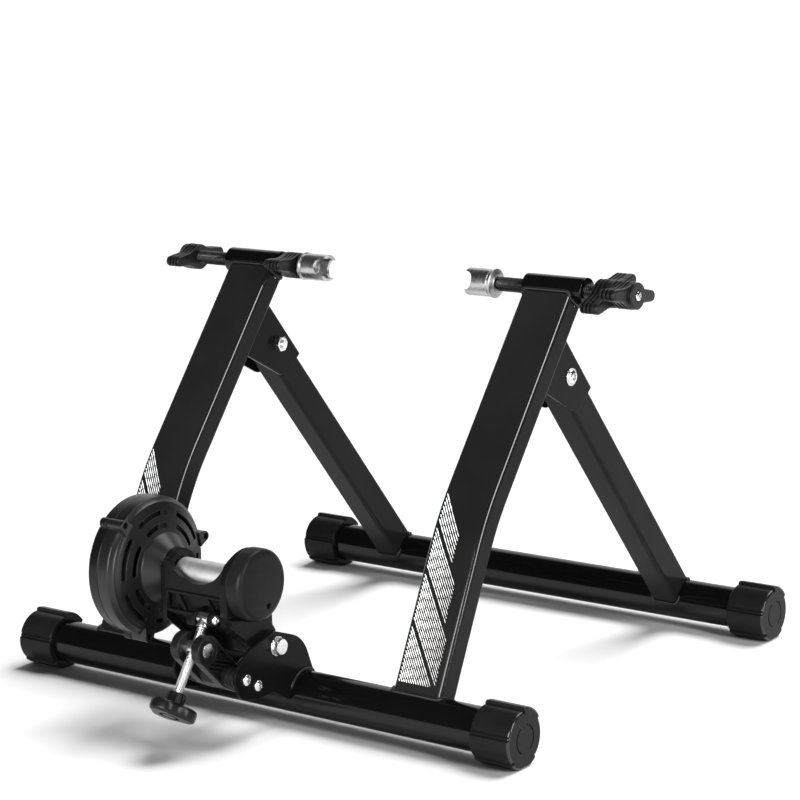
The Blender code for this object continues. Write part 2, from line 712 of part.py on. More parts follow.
def unit_body():
    at = (0, *TILT)

    def local(points):
        return [(y - TILT[0], z - TILT[1]) for y, z in points]

    def c(p):
        return (p[0] - TILT[0], p[1] - TILT[1])

    right = local(hull(circle(*ROLLER, 29.5, 32) + circle(*TILT, 12.0, 20) + [(-80.0, 95.0), (-83.0, 100.0)]))
    obj = put("unit_body", prism(right, *FLANGE_R), at, tilt_axis, plastic("unit_body", 0.02, 0.42))
    left = local(hull(circle(ROLLER[0], ROLLER[1], 19.0, 24) + [(-72.0, 92.0), (-72.0, 140.0), (-60.0, 85.0), (-42.0, 96.0)]))
    join(obj, prism(left, *FLANGE_L), "left_flange")
    join(obj, box((FLANGE_L[1] - 1, FLANGE_R[0] + 1), (-73.0 - TILT[0], -69.8 - TILT[0]), (104.0 - TILT[1], 147.0 - TILT[1])), "rear_wall")
    arm = local([(-69.0, 120.0), (-75.0, 106.0), (-78.0, 97.0), (-60.0, 86.0), (-44.0, 69.0), (-26.0, 69.0), (-25.0, 82.0), (-34.0, 100.0), (-46.0, 112.0)])
    join(obj, prism(arm, -17.0, FLANGE_R[0] + 1), "arm")
    shelf = local([(-70.0, 116.0), (-70.0, 108.0), (-58.0, 96.0), (-50.0, 96.0), (-50.0, 113.0)])
    join(obj, prism(shelf, FLANGE_L[1] - 1, -16.0), "shelf")
    rails = box((FLANGE_L[1] - 1, FLANGE_R[0] + 1), (-77.0 - TILT[0], -72.0 - TILT[0]), (119.0 - TILT[1], 122.4 - TILT[1]))
    box((FLANGE_L[1] - 1, FLANGE_R[0] + 1), (-77.0 - TILT[0], -72.0 - TILT[0]), (103.2 - TILT[1], 106.4 - TILT[1]), rails)
    join(obj, rails, "rails")
    ribs = box((-28.0, -25.6), (-76.4 - TILT[0], -72.0 - TILT[0]), (104.0 - TILT[1], 121.0 - TILT[1]))
    box((-6.0, -3.6), (-76.4 - TILT[0], -72.0 - TILT[0]), (104.0 - TILT[1], 121.0 - TILT[1]), ribs)
    box((12.4, 14.8), (-76.4 - TILT[0], -72.0 - TILT[0]), (104.0 - TILT[1], 121.0 - TILT[1]), ribs)
    join(obj, ribs, "ribs")
    lug = local(hull(circle(*YOKE, 6.4, 18) + [(-72.0, 112.0), (-72.0, 98.0)]))
    lugs = prism(lug, ROD_X + 6.4, ROD_X + 10.4)
    prism(lug, ROD_X - 10.4, ROD_X - 6.4, lugs)
    join(obj, lugs, "lugs")
    join(obj, rod(PLATE_LEFT[1] + GAP, PLATE_RIGHT[0] - GAP, 11.5, 24), "hub")
    # thick outer side of the arm, curved under the flywheel cover
    under = [(ROLLER[0] + 31.6 * math.cos(math.radians(a)), ROLLER[1] + 31.6 * math.sin(math.radians(a))) for a in range(298, 230, -12)]
    block = local([(-84.0, 106.5), (-82.8, 99.4), (-47.5, 68.4), (-36.0, 64.2), (-26.0, 69.0), (-25.6, 86.0), (-36.4, 100.0)] + under)
    join(obj, prism(block, FLANGE_R[1] - 1, 37.4), "block")
    # bores: pivot, pin, roller space, bearing seats, cut-out over the roller
    cut(obj, rod(-60, 60, 4.0 + GAP, 20), "pivot_bore")
    cut(obj, rod(-60, 60, 2.5 + GAP, 14, centre=c(YOKE)), "pin_bore")
    cut(obj, rod(FLANGE_L[1], FLANGE_R[0], 15.5, 32, centre=c(ROLLER)), "roller_space")
    cut(obj, rod(-80, 60, BEARING_R + GAP, 28, centre=c(ROLLER)), "bearing_seats")
    scoop = rod(-30, 30, 35.5, 40, matrix=Matrix.Rotation(math.radians(90), 4, "Z"))
    other = cut(obj, scoop, "cut_out")
    other.location = (-8.0 * MM, (-70.0 - TILT[0]) * MM, (165.5 - TILT[1]) * MM)
    # room for the yoke between the lugs
    cut(obj, box((ROD_X - 6.4, ROD_X + 6.4), (-99.0 - TILT[0], -77.6 - TILT[0]), (88.0 - TILT[1], 113.0 - TILT[1])), "yoke_room")
    return obj


unit_body()

# ---- bearings ------------------------------------------------------------
SHAFT_R = 4.0
for word, span in (("left", FLANGE_L), ("right", FLANGE_R)):
    mid = sum(span) / 2
    put(f"bearing_{word}", pipe(-3.5, 3.5, BEARING_R, SHAFT_R + GAP, 24), (mid, *ROLLER), tilt_axis, steel(f"bearing_{word}"))

# ---- magnet housing --------------------------------------------------------
BOSS_ANGLES = (133, 13, 253)
BOSS_AT = 61.5
SPLIT_X = -84.0
BACK_X = -93.0
NECK_X = FLANGE_L[0] - GAP


def slot_cutter(bm, radius, half_angle, width, middle, x0, x1):
    n = 2
    outer = [(radius + width / 2, -half_angle + 2 * half_angle * k / n) for k in range(n + 1)]
    inner = [(radius - width / 2, half_angle - 2 * half_angle * k / n) for k in range(n + 1)]
    tip = width / 2 / radius
    points = outer + [(radius, half_angle + tip)] + inner + [(radius, -half_angle - tip)]
    prism([(r * math.cos(middle + a), r * math.sin(middle + a)) for r, a in points], x0, x1, bm)


def boss_points(k):
    a = math.radians(BOSS_ANGLES[k])
    return (BOSS_AT * math.cos(a), BOSS_AT * math.sin(a))


def front_cover():
    at = (0, *ROLLER)
    profile = [
        (NECK_X, 13.0), (NECK_X, 21.0), (-56.0, 24.0), (-67.5, 54.0), (-71.5, HOUSING_R - 0.6), (SPLIT_X, HOUSING_R + 0.6),
        (SPLIT_X, HOUSING_R - 1.9), (-73.5, HOUSING_R - 2.8), (-70.0, 53.0), (-58.6, 22.0), (-52.0, 17.0), (-52.0, 13.0),
    ]
    obj = put("housing_front_cover", lathe(profile, 36), at, tilt_axis, plastic("housing_front_cover", 0.035, 0.4))
    bm = bmesh.new()
    for k in range(3):
        rod(SPLIT_X + 0.2, -66.0, 4.6, 14, bm, centre=boss_points(k))
    join(obj, bm, "bosses")
    bm = bmesh.new()
    for k in range(6):
        middle = math.radians(40 + 60 * k)
        slot_cutter(bm, 47.0, math.radians(20), 4.2, middle, -80, -55)
        slot_cutter(bm, 36.5, math.radians(18), 4.2, middle, -80, -50)
    cut(obj, bm, "slots")
    bm = bmesh.new()
    for k in range(3):
        rod(-95, -60, 1.5 + GAP, 10, bm, centre=boss_points(k))
    cut(obj, bm, "boss_holes")
    return obj


def rear_cover():
    at = (0, *ROLLER)
    x = SPLIT_X - GAP
    profile = [
        (BACK_X, 0), (BACK_X, 54.0), (BACK_X + 3.0, 59.4), (x, 60.2), (x, HOUSING_R - 2.0), (BACK_X + 3.4, 57.0), (BACK_X + 2.5, 53.6),
        (BACK_X + 2.5, 0),
    ]
    obj = put("housing_rear_cover", lathe(profile, 36), at, tilt_axis, plastic("housing_rear_cover", 0.015, 0.5))
    bm = bmesh.new()
    for k in range(3):
        rod(BACK_X + 1.0, x - 0.2, 4.6, 14, bm, centre=boss_points(k))
    join(obj, bm, "bosses")
    bm = bmesh.new()
    for k in range(3):
        rod(BACK_X + 3.0, -60, 1.5 + GAP, 10, bm, centre=boss_points(k))
    cut(obj, bm, "boss_holes")
    return obj


front_cover()
rear_cover()
for k in range(3):
    y, z = boss_points(k)
    screw = [(BACK_X + 4.0, 0), (BACK_X + 4.0, 1.5), (-66.0 + GAP, 1.5), (-66.0 + GAP, 3.0), (-64.6, 2.7), (-64.0, 1.4), (-64.0, 0)]
    put(f"housing_screw_{k + 1}", lathe(screw, 12), (0, ROLLER[0] + y, ROLLER[1] + z), tilt_axis, steel(f"housing_screw_{k + 1}"))

# ---- magnets, on a steel ring fixed inside the rear cover ------------------
RING_X = BACK_X + 2.5 + GAP


def magnet_ring():
    obj = put("magnet_ring", pipe(RING_X, RING_X + 2.4, 52.0, 26.0, 36), (0, *ROLLER), tilt_axis, steel("magnet_ring", 0.4))
    bm = bmesh.new()
    for k in range(8):
        a = 2 * math.pi * k / 8
        block = [(30, -7), (48, -9), (48, 9), (30, 7)]
        prism([(u * math.cos(a) - v * math.sin(a), u * math.sin(a) + v * math.cos(a)) for u, v in block], RING_X + 2.0, RING_X + 6.4, bm)
    join(obj, bm, "magnets")
    return obj


magnet_ring()

# ---- rotating group ---------------------------------------------------------
DISC_X = (RING_X + 8.4, RING_X + 11.4)
put("brake_disc", lathe([(DISC_X[0], SHAFT_R + GAP), (DISC_X[0], 53.0), (DISC_X[1], 53.0), (DISC_X[1], 14.0), (DISC_X[1] + 10.0, 12.0), (DISC_X[1] + 10.0, SHAFT_R + GAP)], 40), (0, *ROLLER), roller_axis, material("brake_disc", (0.75, 0.75, 0.76), 0.3, 1.0))
put("roller", lathe([(-39.8, SHAFT_R + GAP), (-39.8, 11.7), (-39.0, ROLLER_R), (22.0, ROLLER_R), (22.8, 11.7), (22.8, SHAFT_R + GAP)], 32), (0, *ROLLER), roller_axis, steel("roller", 0.35))
put("roller_shaft", lathe([(RING_X + 7.4, 0), (RING_X + 7.4, 3.5), (RING_X + 7.9, SHAFT_R), (43.2, SHAFT_R), (43.7, 3.5), (43.7, 0)], 20), (0, *ROLLER), roller_axis, steel("roller_shaft"))
put("flywheel", lathe([(33.0, SHAFT_R + GAP), (33.0, 8.0), (34.0, 8.0), (34.0, 26.5), (39.4, 26.5), (39.4, SHAFT_R + GAP)], 32), (0, *ROLLER), roller_axis, steel("flywheel", 0.4))
nut = put("flywheel_nut", hex_rod(39.4 + GAP, 43.0, 13.0), (0, *ROLLER), roller_axis, steel("flywheel_nut"))
cut(nut, rod(30, 50, SHAFT_R + GAP, 16), "bore")


def flywheel_cover():
    x0 = FLANGE_R[1] + GAP
    profile = [(x0, 28.4), (x0, 31.0), (x0 + 11.0, 31.0), (x0 + 13.6, 29.9), (x0 + 15.2, 26.8), (x0 + 15.2, 0), (x0 + 12.8, 0), (x0 + 12.8, 25.6), (x0 + 10.8, 28.4)]
    obj = put("flywheel_cover", lathe(profile, 32), (0, *ROLLER), tilt_axis, plastic("flywheel_cover", 0.03, 0.42))
    cut(obj, rod(x0 + 8, x0 + 20, 2.8, 12, centre=(-46.8 - ROLLER[0], 113.0 - ROLLER[1])), "hole")
    return obj


flywheel_cover()

# ================================================================ height adjuster
ROD_TURN = (math.atan2(ROD_DIR.y, -ROD_DIR.z), 0, 0)   # local -Z becomes the rod's direction
ALONG = Matrix.Rotation(math.radians(90), 4, "Y")          # local X profile to local -Z


def axial(profile, n=24, bm=None):
    """Solid of revolution whose profile runs down local -Z."""
    return lathe(profile, n, bm, matrix=ALONG)


def yoke():
    obj = put("yoke", rod(-6.0, 6.0, 5.2, 20), (ROD_X, *YOKE), yoke_axis, steel("yoke"), ROD_TURN)
    join(obj, axial([(0.0, 0), (0.0, 5.0), (8.6, 5.0), (8.6, 0)], 20), "socket")
    cut(obj, rod(-20, 20, 2.5 + GAP, 14), "pin_bore")
    return obj


yoke()
pin = put("yoke_pin", lathe([(-11.5, 0), (-11.5, 2.5), (10.4 + GAP, 2.5), (10.4 + GAP, 4.6), (12.0, 4.4), (13.4, 2.8), (13.4, 0)], 16), (ROD_X, *YOKE), tilt_axis, steel("yoke_pin"))

BARREL_S = (Vector(EAR) - Vector(YOKE)).length
put("adjuster_screw", axial([(8.9, 0), (8.9, 3.6), (9.3, 4.0), (81.0, 4.0), (81.0, 0)], 20), (ROD_X, *YOKE), rod_axis, steel("adjuster_screw"), ROD_TURN)


def adjuster_knob():
    outline = []
    n = 48
    for k in range(n):
        a = 2 * math.pi * k / n
        r = 19.6 - 2.4 * math.cos(3 * a)
        outline.append((r * math.cos(a), r * math.sin(a)))
    obj = put("adjuster_knob", prism(outline, 77.0, 87.5), (ROD_X, *YOKE), rod_axis, plastic("adjuster_knob", 0.025, 0.4), ROD_TURN)
    obj.data.transform(ALONG)
    join(obj, axial([(67.0, 0), (67.0, 7.2), (69.0, 7.6), (78.0, 8.2), (78.0, 0)], 20), "hub")
    cut(obj, axial([(60.0, 0), (60.0, 4.0 + GAP), (81.0 + GAP, 4.0 + GAP), (81.0 + GAP, 0)], 20), "bore")
    return obj


adjuster_knob()


def trunnion():
    obj = put("trunnion", rod(-EAR_GAP - EAR_T + 0.3, EAR_GAP + EAR_T - 0.3, 6.5, 24), (ROD_X, *EAR), ear_axis, steel("trunnion"), ROD_TURN)
    cut(obj, axial([(-20.0, 0), (-20.0, 4.8), (20.0, 4.8), (20.0, 0)], 20), "thread")
    return obj


trunnion()
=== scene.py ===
"""Looks of the folding bicycle trainer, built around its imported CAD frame.

Lengths below are design millimetres: x to the rider's right, y forward from
the axis of the rear base tube, z up from the floor. place() turns them into
the frame's metres. Shapes that turn about an axis along X are given as (x, r)
profiles, flat shapes as (y, z) outlines.
"""

import math

import bmesh
import bpy
from mathutils import Matrix, Vector, noise

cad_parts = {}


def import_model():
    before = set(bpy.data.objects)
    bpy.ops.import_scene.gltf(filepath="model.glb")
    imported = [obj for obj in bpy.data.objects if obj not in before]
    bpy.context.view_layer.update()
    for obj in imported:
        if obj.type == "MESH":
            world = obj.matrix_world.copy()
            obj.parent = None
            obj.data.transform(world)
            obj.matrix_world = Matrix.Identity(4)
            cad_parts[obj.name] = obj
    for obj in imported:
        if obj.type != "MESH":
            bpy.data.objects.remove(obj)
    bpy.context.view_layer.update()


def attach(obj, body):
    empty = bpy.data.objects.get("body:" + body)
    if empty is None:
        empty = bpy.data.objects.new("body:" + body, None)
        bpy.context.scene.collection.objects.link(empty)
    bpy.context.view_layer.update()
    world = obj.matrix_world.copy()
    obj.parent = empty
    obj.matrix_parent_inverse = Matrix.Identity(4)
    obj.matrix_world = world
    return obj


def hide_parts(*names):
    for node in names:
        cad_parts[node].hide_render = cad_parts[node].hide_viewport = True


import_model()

MM = 0.001
Y_MID = 147.31
TO_SCENE = Matrix.Translation((0.0, -Y_MID * MM, 0.0)) @ Matrix.Scale(MM, 4)

# ---------------------------------------------------------------- dimensions
HALF = 272.5
TUBE_R = 19.05
TUBE_Z = 24.9
FRONT_Y = 422.4
UPRIGHT_X = 166.5
UPRIGHT_W = 50.0
UPRIGHT_D = 23.0
KNEE = (74.5, 176.5)
KNEE_R = 260.0
CLAMP = (213.0, 354.5)
SLEEVE_R = 12.1
FOLD = (213.5, 277.7)
LEG_X = 165.0
LEG_W = 27.2
LEG_D = 29.6
BRACKET_HALF = 17.0
BRACKET_T = 2.8
SPINDLE_R = 6.5
ROLLER = (-53.0, 132.0)
TILT = (-35.3, 74.9)
ROD_X = 10.0
YOKE = (-84.5, 106.0)
EAR = (-99.9, 83.9)
SCREW_REAR = (-76.5, 55.9)
SCREW_FRONT = (-62.0, 47.3)


# ================================================================ outlines
def circle(cy, cz, r, n=64, start=0.0):
    return [(cy + r * math.cos(start + 2 * math.pi * k / n), cz + r * math.sin(start + 2 * math.pi * k / n)) for k in range(n)]


def arc(cy, cz, r, a0, a1, n):
    """Points on a circle from a0 to a1 degrees, both ends included."""
    return [
        (cy + r * math.cos(math.radians(a0 + (a1 - a0) * k / n)), cz + r * math.sin(math.radians(a0 + (a1 - a0) * k / n)))
        for k in range(n + 1)
    ]


def hull(points):
    points = sorted(set((round(p[0], 6), round(p[1], 6)) for p in points))

    def half(sequence):
        chain = []
        for p in sequence:
            while len(chain) > 1 and (
                (chain[-1][0] - chain[-2][0]) * (p[1] - chain[-2][1]) - (chain[-1][1] - chain[-2][1]) * (p[0] - chain[-2][0])
            ) <= 1e-9:
                chain.pop()
            chain.append(p)
        return chain[:-1]

    return half(points) + half(points[::-1])


def fillet(corners, steps=8):
    """Rounds a polygon of (y, z, radius) corners."""
    out = []
    count = len(corners)
    for k in range(count):
        y, z, r = corners[k]
        p = Vector((y, z))
        a = Vector(corners[k - 1][:2]) - p
        b = Vector(corners[(k + 1) % count][:2]) - p
        if r <= 0 or a.length < 1e-6 or b.length < 1e-6 or a.angle(b) > math.pi - 1e-3:
            out.append((y, z))
            continue
        angle = a.angle(b)
        reach = min(r / math.tan(angle / 2), 0.49 * a.length, 0.49 * b.length)
        r = reach * math.tan(angle / 2)
        a.normalize()
        b.normalize()
        centre = p + (a + b).normalized() * (r / math.sin(angle / 2))
        first, last = p + a * reach - centre, p + b * reach - centre
        sweep = math.atan2(first.x * last.y - first.y * last.x, first.dot(last))
        for s in range(steps + 1):
            t = sweep * s / steps
            out.append((centre.x + first.x * math.cos(t) - first.y * math.sin(t), centre.y + first.x * math.sin(t) + first.y * math.cos(t)))
    return out


def ccw(outline):
    area = sum(a[0] * b[1] - b[0] * a[1] for a, b in zip(outline, outline[1:] + outline[:1]))
    return list(outline) if area > 0 else list(outline)[::-1]


def clean(outline, least=0.02):
    out = []
    for p in outline:
        if not out or math.hypot(p[0] - out[-1][0], p[1] - out[-1][1]) > least:
            out.append(p)
    while len(out) > 3 and math.hypot(out[0][0] - out[-1][0], out[0][1] - out[-1][1]) <= least:
        out.pop()
    return out


def inset_normals(outline):
    """For each vertex of a counter-clockwise outline, the step that moves both its edges inward by one."""
    steps = []
    n = len(outline)
    for k in range(n):
        p0, p1, p2 = Vector(outline[k - 1]), Vector(outline[k]), Vector(outline[(k + 1) % n])
        d0, d1 = (p1 - p0).normalized(), (p2 - p1).normalized()
        n0, n1 = Vector((-d0.y, d0.x)), Vector((-d1.y, d1.x))
        m = n0 + n1
        scale = 1.0 / max(0.28, 1.0 + n0.dot(n1))
        steps.append((m.x * scale, m.y * scale))
    return steps


def inset(outline, amount):
    return [(p[0] + s[0] * amount, p[1] + s[1] * amount) for p, s in zip(outline, inset_normals(outline))]


def turned(outline, angle, centre=(0.0, 0.0)):
    c, s = math.cos(angle), math.sin(angle)
    return [(centre[0] + u * c - v * s, centre[1] + u * s + v * c) for u, v in outline]


def spline(points, per=5):
    """Catmull-Rom through the points, ends included."""
    pts = [Vector(p) for p in points]
    out = []
    for k in range(len(pts) - 1):
        p0 = pts[k - 1] if k else pts[0] * 2 - pts[1]
        p1, p2 = pts[k], pts[k + 1]
        p3 = pts[k + 2] if k + 2 < len(pts) else pts[-1] * 2 - pts[-2]
        for s in range(per):
            t = s / per
            out.append(tuple(0.5 * (2 * p1 + (p2 - p0) * t + (2 * p0 - 5 * p1 + 4 * p2 - p3) * t * t + (3 * p1 - p0 - 3 * p2 + p3) * t ** 3)))
    out.append(tuple(pts[-1]))
    return out


# ================================================================ solids
def quads(bm, rings, closed=True):
    """Joins rings of vertices with faces; a ring of one vertex is a pole."""
    pairs = list(zip(rings, rings[1:] + rings[:1])) if closed else list(zip(rings, rings[1:]))
    for a, b in pairs:
        n = max(len(a), len(b))
        if len(a) == 1 and len(b) == 1:
            continue
        for k in range(n):
            j = (k + 1) % n
            if len(a) == 1:
                bm.faces.new((a[0], b[j], b[k]))
            elif len(b) == 1:
                bm.faces.new((a[k], a[j], b[0]))
            else:
                bm.faces.new((a[k], a[j], b[j], b[k]))
    return bm


def stack(outline, stations, bm=None):
    """A solid along X: the (y, z) outline at each (x, inset) station."""
    bm = bm or bmesh.new()
    outline = ccw(clean(outline))
    normals = inset_normals(outline)
    rings = []
    for x, amount in stations:
        rings.append([bm.verts.new((x, p[0] + s[0] * amount, p[1] + s[1] * amount)) for p, s in zip(outline, normals)])
    quads(bm, rings, closed=False)
    bm.faces.new(rings[0][::-1])
    bm.faces.new(rings[-1])
    return bm


def slab(outline, x0, x1, edge=0.5, bm=None, steps=3):
    """A plate from x0 to x1 with rounded edges."""
    turns = [math.pi / 2 * k / steps for k in range(steps + 1)]
    low = [(x0 + edge * (1 - math.sin(t)), edge * (1 - math.cos(t))) for t in turns[::-1]]
    high = [(x1 - edge * (1 - math.sin(t)), edge * (1 - math.cos(t))) for t in turns]
    return stack(outline, low + high, bm)


def prism(outline, x0, x1, bm=None):
    return stack(outline, [(x0, 0.0), (x1, 0.0)], bm)


def box(x, y, z, bm=None):
    return prism([(y[0], z[0]), (y[1], z[0]), (y[1], z[1]), (y[0], z[1])], x[0], x[1], bm)


def lathe(profile, n=96, centre=(0.0, 0.0), bm=None, matrix=None, start=0.0):
    """Turns a closed (x, r) profile about the X axis through centre."""
    bm = bm or bmesh.new()
    rings = []
    for x, r in profile:
        if r < 1e-5:
            rings.append([bm.verts.new((x, centre[0], centre[1]))])
        else:
            rings.append([
                bm.verts.new((x, centre[0] + r * math.cos(start + 2 * math.pi * k / n), centre[1] + r * math.sin(start + 2 * math.pi * k / n)))
                for k in range(n)
            ])
    quads(bm, rings)
    if matrix is not None:
        bmesh.ops.transform(bm, matrix=matrix, verts=[v for ring in rings for v in ring])
    return bm


def turned_part(corners, n=96, centre=(0.0, 0.0), bm=None, matrix=None, steps=4):
    """Lathe of a closed (x, r, rounding) profile; corners on the axis stay sharp."""
    return lathe(clean(fillet(corners, steps), 0.005), n, centre, bm, matrix)


def rod(x0, x1, r, n=48, centre=(0.0, 0.0), bm=None, matrix=None, edge=0.0):
    if edge <= 0:
        return lathe([(x0, 0), (x0, r), (x1, r), (x1, 0)], n, centre, bm, matrix)
    return turned_part([(x0, 0, 0), (x0, r, edge), (x1, r, edge), (x1, 0, 0)], n, centre, bm, matrix)


def hex_outline(flats, centre=(0.0, 0.0), start=0.0):
    return circle(centre[0], centre[1], flats / math.sqrt(3), 6, start)


def rect_section(half_w, half_d, r, steps=8):
    return fillet([(half_w, half_d, r), (-half_w, half_d, r), (-half_w, -half_d, r), (half_w, -half_d, r)], steps)


def rect_tube(x, stations, half_w, half_d, corner, wall, steps=8):
    """Hollow rounded tube along (y, z, lean) stations."""
    bm = bmesh.new()
    rings = []
    outer = rect_section(half_w, half_d, corner, steps)
    inner = rect_section(half_w - wall, half_d - wall, max(corner - wall, 0.5), steps)
    for section, order in ((outer, stations), (inner, stations[::-1])):
        for y, z, lean in order:
            ny, nz = math.cos(lean), -math.sin(lean)
            rings.append([bm.verts.new((x + u, y + v * ny, z + v * nz)) for u, v in section])
    return quads(bm, rings)


def sweep(path, radius, n=10, closed=False):
    """A round bead along points; radius is a number or a function of the length run."""
    pts = [Vector(p) for p in path]
    count = len(pts)
    bm = bmesh.new()
    rings = []
    side = None
    run = 0.0
    for k, p in enumerate(pts):
        a = pts[k - 1] if (k or closed) else p
        b = pts[(k + 1) % count] if (k + 1 < count or closed) else p
        tangent = (b - a).normalized()
        if side is None:
            side = tangent.orthogonal().normalized()
        side = (side - tangent * side.dot(tangent)).normalized()
        up = tangent.cross(side)
        if k:
            run += (p - pts[k - 1]).length
        r = radius(run) if callable(radius) else radius
        rings.append([bm.verts.new(p + (side * math.cos(2 * math.pi * j / n) + up * math.sin(2 * math.pi * j / n)) * r) for j in range(n)])
    if closed:
        # the last ring is matched to the first by the nearest vertex
        last, first = rings[-1], rings[0]
        shift = min(range(n), key=lambda s: (last[0].co - first[s].co).length)
        quads(bm, rings, closed=False)
        for j in range(n):
            bm.faces.new((last[j], last[(j + 1) % n], first[(j + 1 + shift) % n], first[(j + shift) % n]))
    else:
        quads(bm, rings, closed=False)
        bm.faces.new(rings[0][::-1])
        bm.faces.new(rings[-1])
    return bm


def thread(x0, x1, r, depth, pitch, centre, n=40, hand=1, matrix=None, tip=1.2, rows=8):
    """A threaded rod: a screw-shaped surface with chamfered ends."""
    bm = bmesh.new()
    count = max(4, int(round((x1 - x0) / pitch * rows)))
    rings = [[bm.verts.new((x0, centre[0], centre[1]))]]
    for i in range(count + 1):
        x = x0 + (x1 - x0) * i / count
        fade = min(1.0, (x - x0) / tip, (x1 - x) / tip)
        ring = []
        for k in range(n):
            a = 2 * math.pi * k / n
            phase = ((x - x0) / pitch - hand * k / n) % 1.0
            wave = abs(2 * phase - 1)                      # 1 at the crest, 0 in the root
            wave = min(1.0, max(0.0, wave * 1.3 - 0.12))
            rr = r - depth * (1 - wave) - (1 - fade) * 0.5
            ring.append(bm.verts.new((x, centre[0] + rr * math.cos(a), centre[1] + rr * math.sin(a))))
        rings.append(ring)
    rings.append([bm.verts.new((x1, centre[0], centre[1]))])
    quads(bm, rings, closed=False)
    if matrix is not None:
        bmesh.ops.transform(bm, matrix=matrix, verts=bm.verts)
    return bm


# ---- set operations on solids ------------------------------------------
def temp(bm):
    bmesh.ops.remove_doubles(bm, verts=bm.verts, dist=1e-5)
    bmesh.ops.recalc_face_normals(bm, faces=bm.faces)
    mesh = bpy.data.meshes.new("temp")
    bm.to_mesh(mesh)
    bm.free()
    obj = bpy.data.objects.new("temp", mesh)
    bpy.context.scene.collection.objects.link(obj)
    return obj


def volume_of(mesh):
    bm = bmesh.new()
    bm.from_mesh(mesh)
    size = bm.calc_volume(signed=True)
    bm.free()
    return size


def csg(a, b, operation):
    """Set operation on two solids; a result of an impossible volume is reported."""
    one, two = temp(a), temp(b)
    mod = one.modifiers.new("set", "BOOLEAN")
    mod.operation = operation
    mod.solver = "EXACT"
    mod.object = two
    bpy.context.view_layer.update()
    graph = bpy.context.evaluated_depsgraph_get()
    mesh = bpy.data.meshes.new_from_object(one.evaluated_get(graph))
    va, vb, vr = volume_of(one.data), volume_of(two.data), volume_of(mesh)
    low = {"UNION": max(va, vb), "DIFFERENCE": va - vb, "INTERSECT": 0.0}[operation]
    high = {"UNION": va + vb, "DIFFERENCE": va, "INTERSECT": min(va, vb)}[operation]
    slack = 0.002 * va + 0.5
    if vr < low - slack or vr > high + slack or vr <= 0.0:
        print("ODD VOLUME", operation, round(va, 1), round(vb, 1), round(vr, 1))
    out = bmesh.new()
    out.from_mesh(mesh)
    meshes = [one.data, two.data, mesh]
    for obj in (one, two):
        bpy.data.objects.remove(obj)
    for used in meshes:
        bpy.data.meshes.remove(used)
    return out


def cut(a, b):
    return csg(a, b, "DIFFERENCE")


def join(a, b):
    return csg(a, b, "UNION")


def keep(a, b):
    return csg(a, b, "INTERSECT")


# ================================================================ materials
def nodes_of(name):
    mat = bpy.data.materials.new(name)
    mat.use_nodes = True
    tree = mat.node_tree
    return mat, tree, tree.nodes["Principled BSDF"]


def add(tree, kind, **values):
    node = tree.nodes.new(kind)
    for key, value in values.items():
        setattr(node, key, value)
    return node


def position(tree, scale=(1.0, 1.0, 1.0)):
    """Object coordinates in metres, stretched."""
    coord = add(tree, "ShaderNodeTexCoord")
    mapping = add(tree, "ShaderNodeMapping")
    mapping.inputs["Scale"].default_value = scale
    tree.links.new(coord.outputs["Object"], mapping.inputs["Vector"])
    return mapping.outputs["Vector"]


def grain(tree, vector, scale, detail=2.0, rough=0.5):
    node = add(tree, "ShaderNodeTexNoise")
    node.inputs["Scale"].default_value = scale
    node.inputs["Detail"].default_value = detail
    node.inputs["Roughness"].default_value = rough
    tree.links.new(vector, node.inputs["Vector"])
    return node.outputs["Fac"]


def spread(tree, value, low, high, from_low=0.3, from_high=0.7):
    node = add(tree, "ShaderNodeMapRange")
    node.inputs["From Min"].default_value = from_low
    node.inputs["From Max"].default_value = from_high
    node.inputs["To Min"].default_value = low
    node.inputs["To Max"].default_value = high
    tree.links.new(value, node.inputs["Value"])
    return node.outputs["Result"]


def two_colours(tree, value, a, b, from_low=0.35, from_high=0.65):
    ramp = add(tree, "ShaderNodeValToRGB")
    ramp.color_ramp.elements[0].position = from_low
    ramp.color_ramp.elements[0].color = (*a, 1.0)
    ramp.color_ramp.elements[1].position = from_high
    ramp.color_ramp.elements[1].color = (*b, 1.0)
    tree.links.new(value, ramp.inputs["Fac"])
    return ramp.outputs["Color"]


def bumps(tree, height, strength, distance, normal=None):
    node = add(tree, "ShaderNodeBump")
    node.inputs["Strength"].default_value = strength
    node.inputs["Distance"].default_value = distance
    tree.links.new(height, node.inputs["Height"])
    if normal is not None:
        tree.links.new(normal, node.inputs["Normal"])
    return node.outputs["Normal"]


def soft_edges(tree, radius):
    node = add(tree, "ShaderNodeBevel")
    node.samples = 6
    node.inputs["Radius"].default_value = radius
    return node.outputs["Normal"]


def powder_coat(name, shade, rough, edge=0.0, peel=0.05, level=0.27):
    """Black powder coat: orange peel, slow changes of gloss, faint dust."""
    mat, tree, bsdf = nodes_of(name)
    bsdf.inputs["Specular IOR Level"].default_value = level
    here = position(tree)
    fine = grain(tree, here, 900.0, 2.0)
    slow = grain(tree, here, 26.0, 3.0)
    dust = grain(tree, here, 7.0, 4.0, 0.6)
    tree.links.new(two_colours(tree, dust, (shade * 0.85,) * 3, (shade * 1.3, shade * 1.3, shade * 1.34)), bsdf.inputs["Base Color"])
    tree.links.new(spread(tree, slow, rough * 0.85, rough * 1.25), bsdf.inputs["Roughness"])
    normal = soft_edges(tree, edge) if edge > 0 else None
    tree.links.new(bumps(tree, fine, peel, 0.0003, normal), bsdf.inputs["Normal"])
    return mat


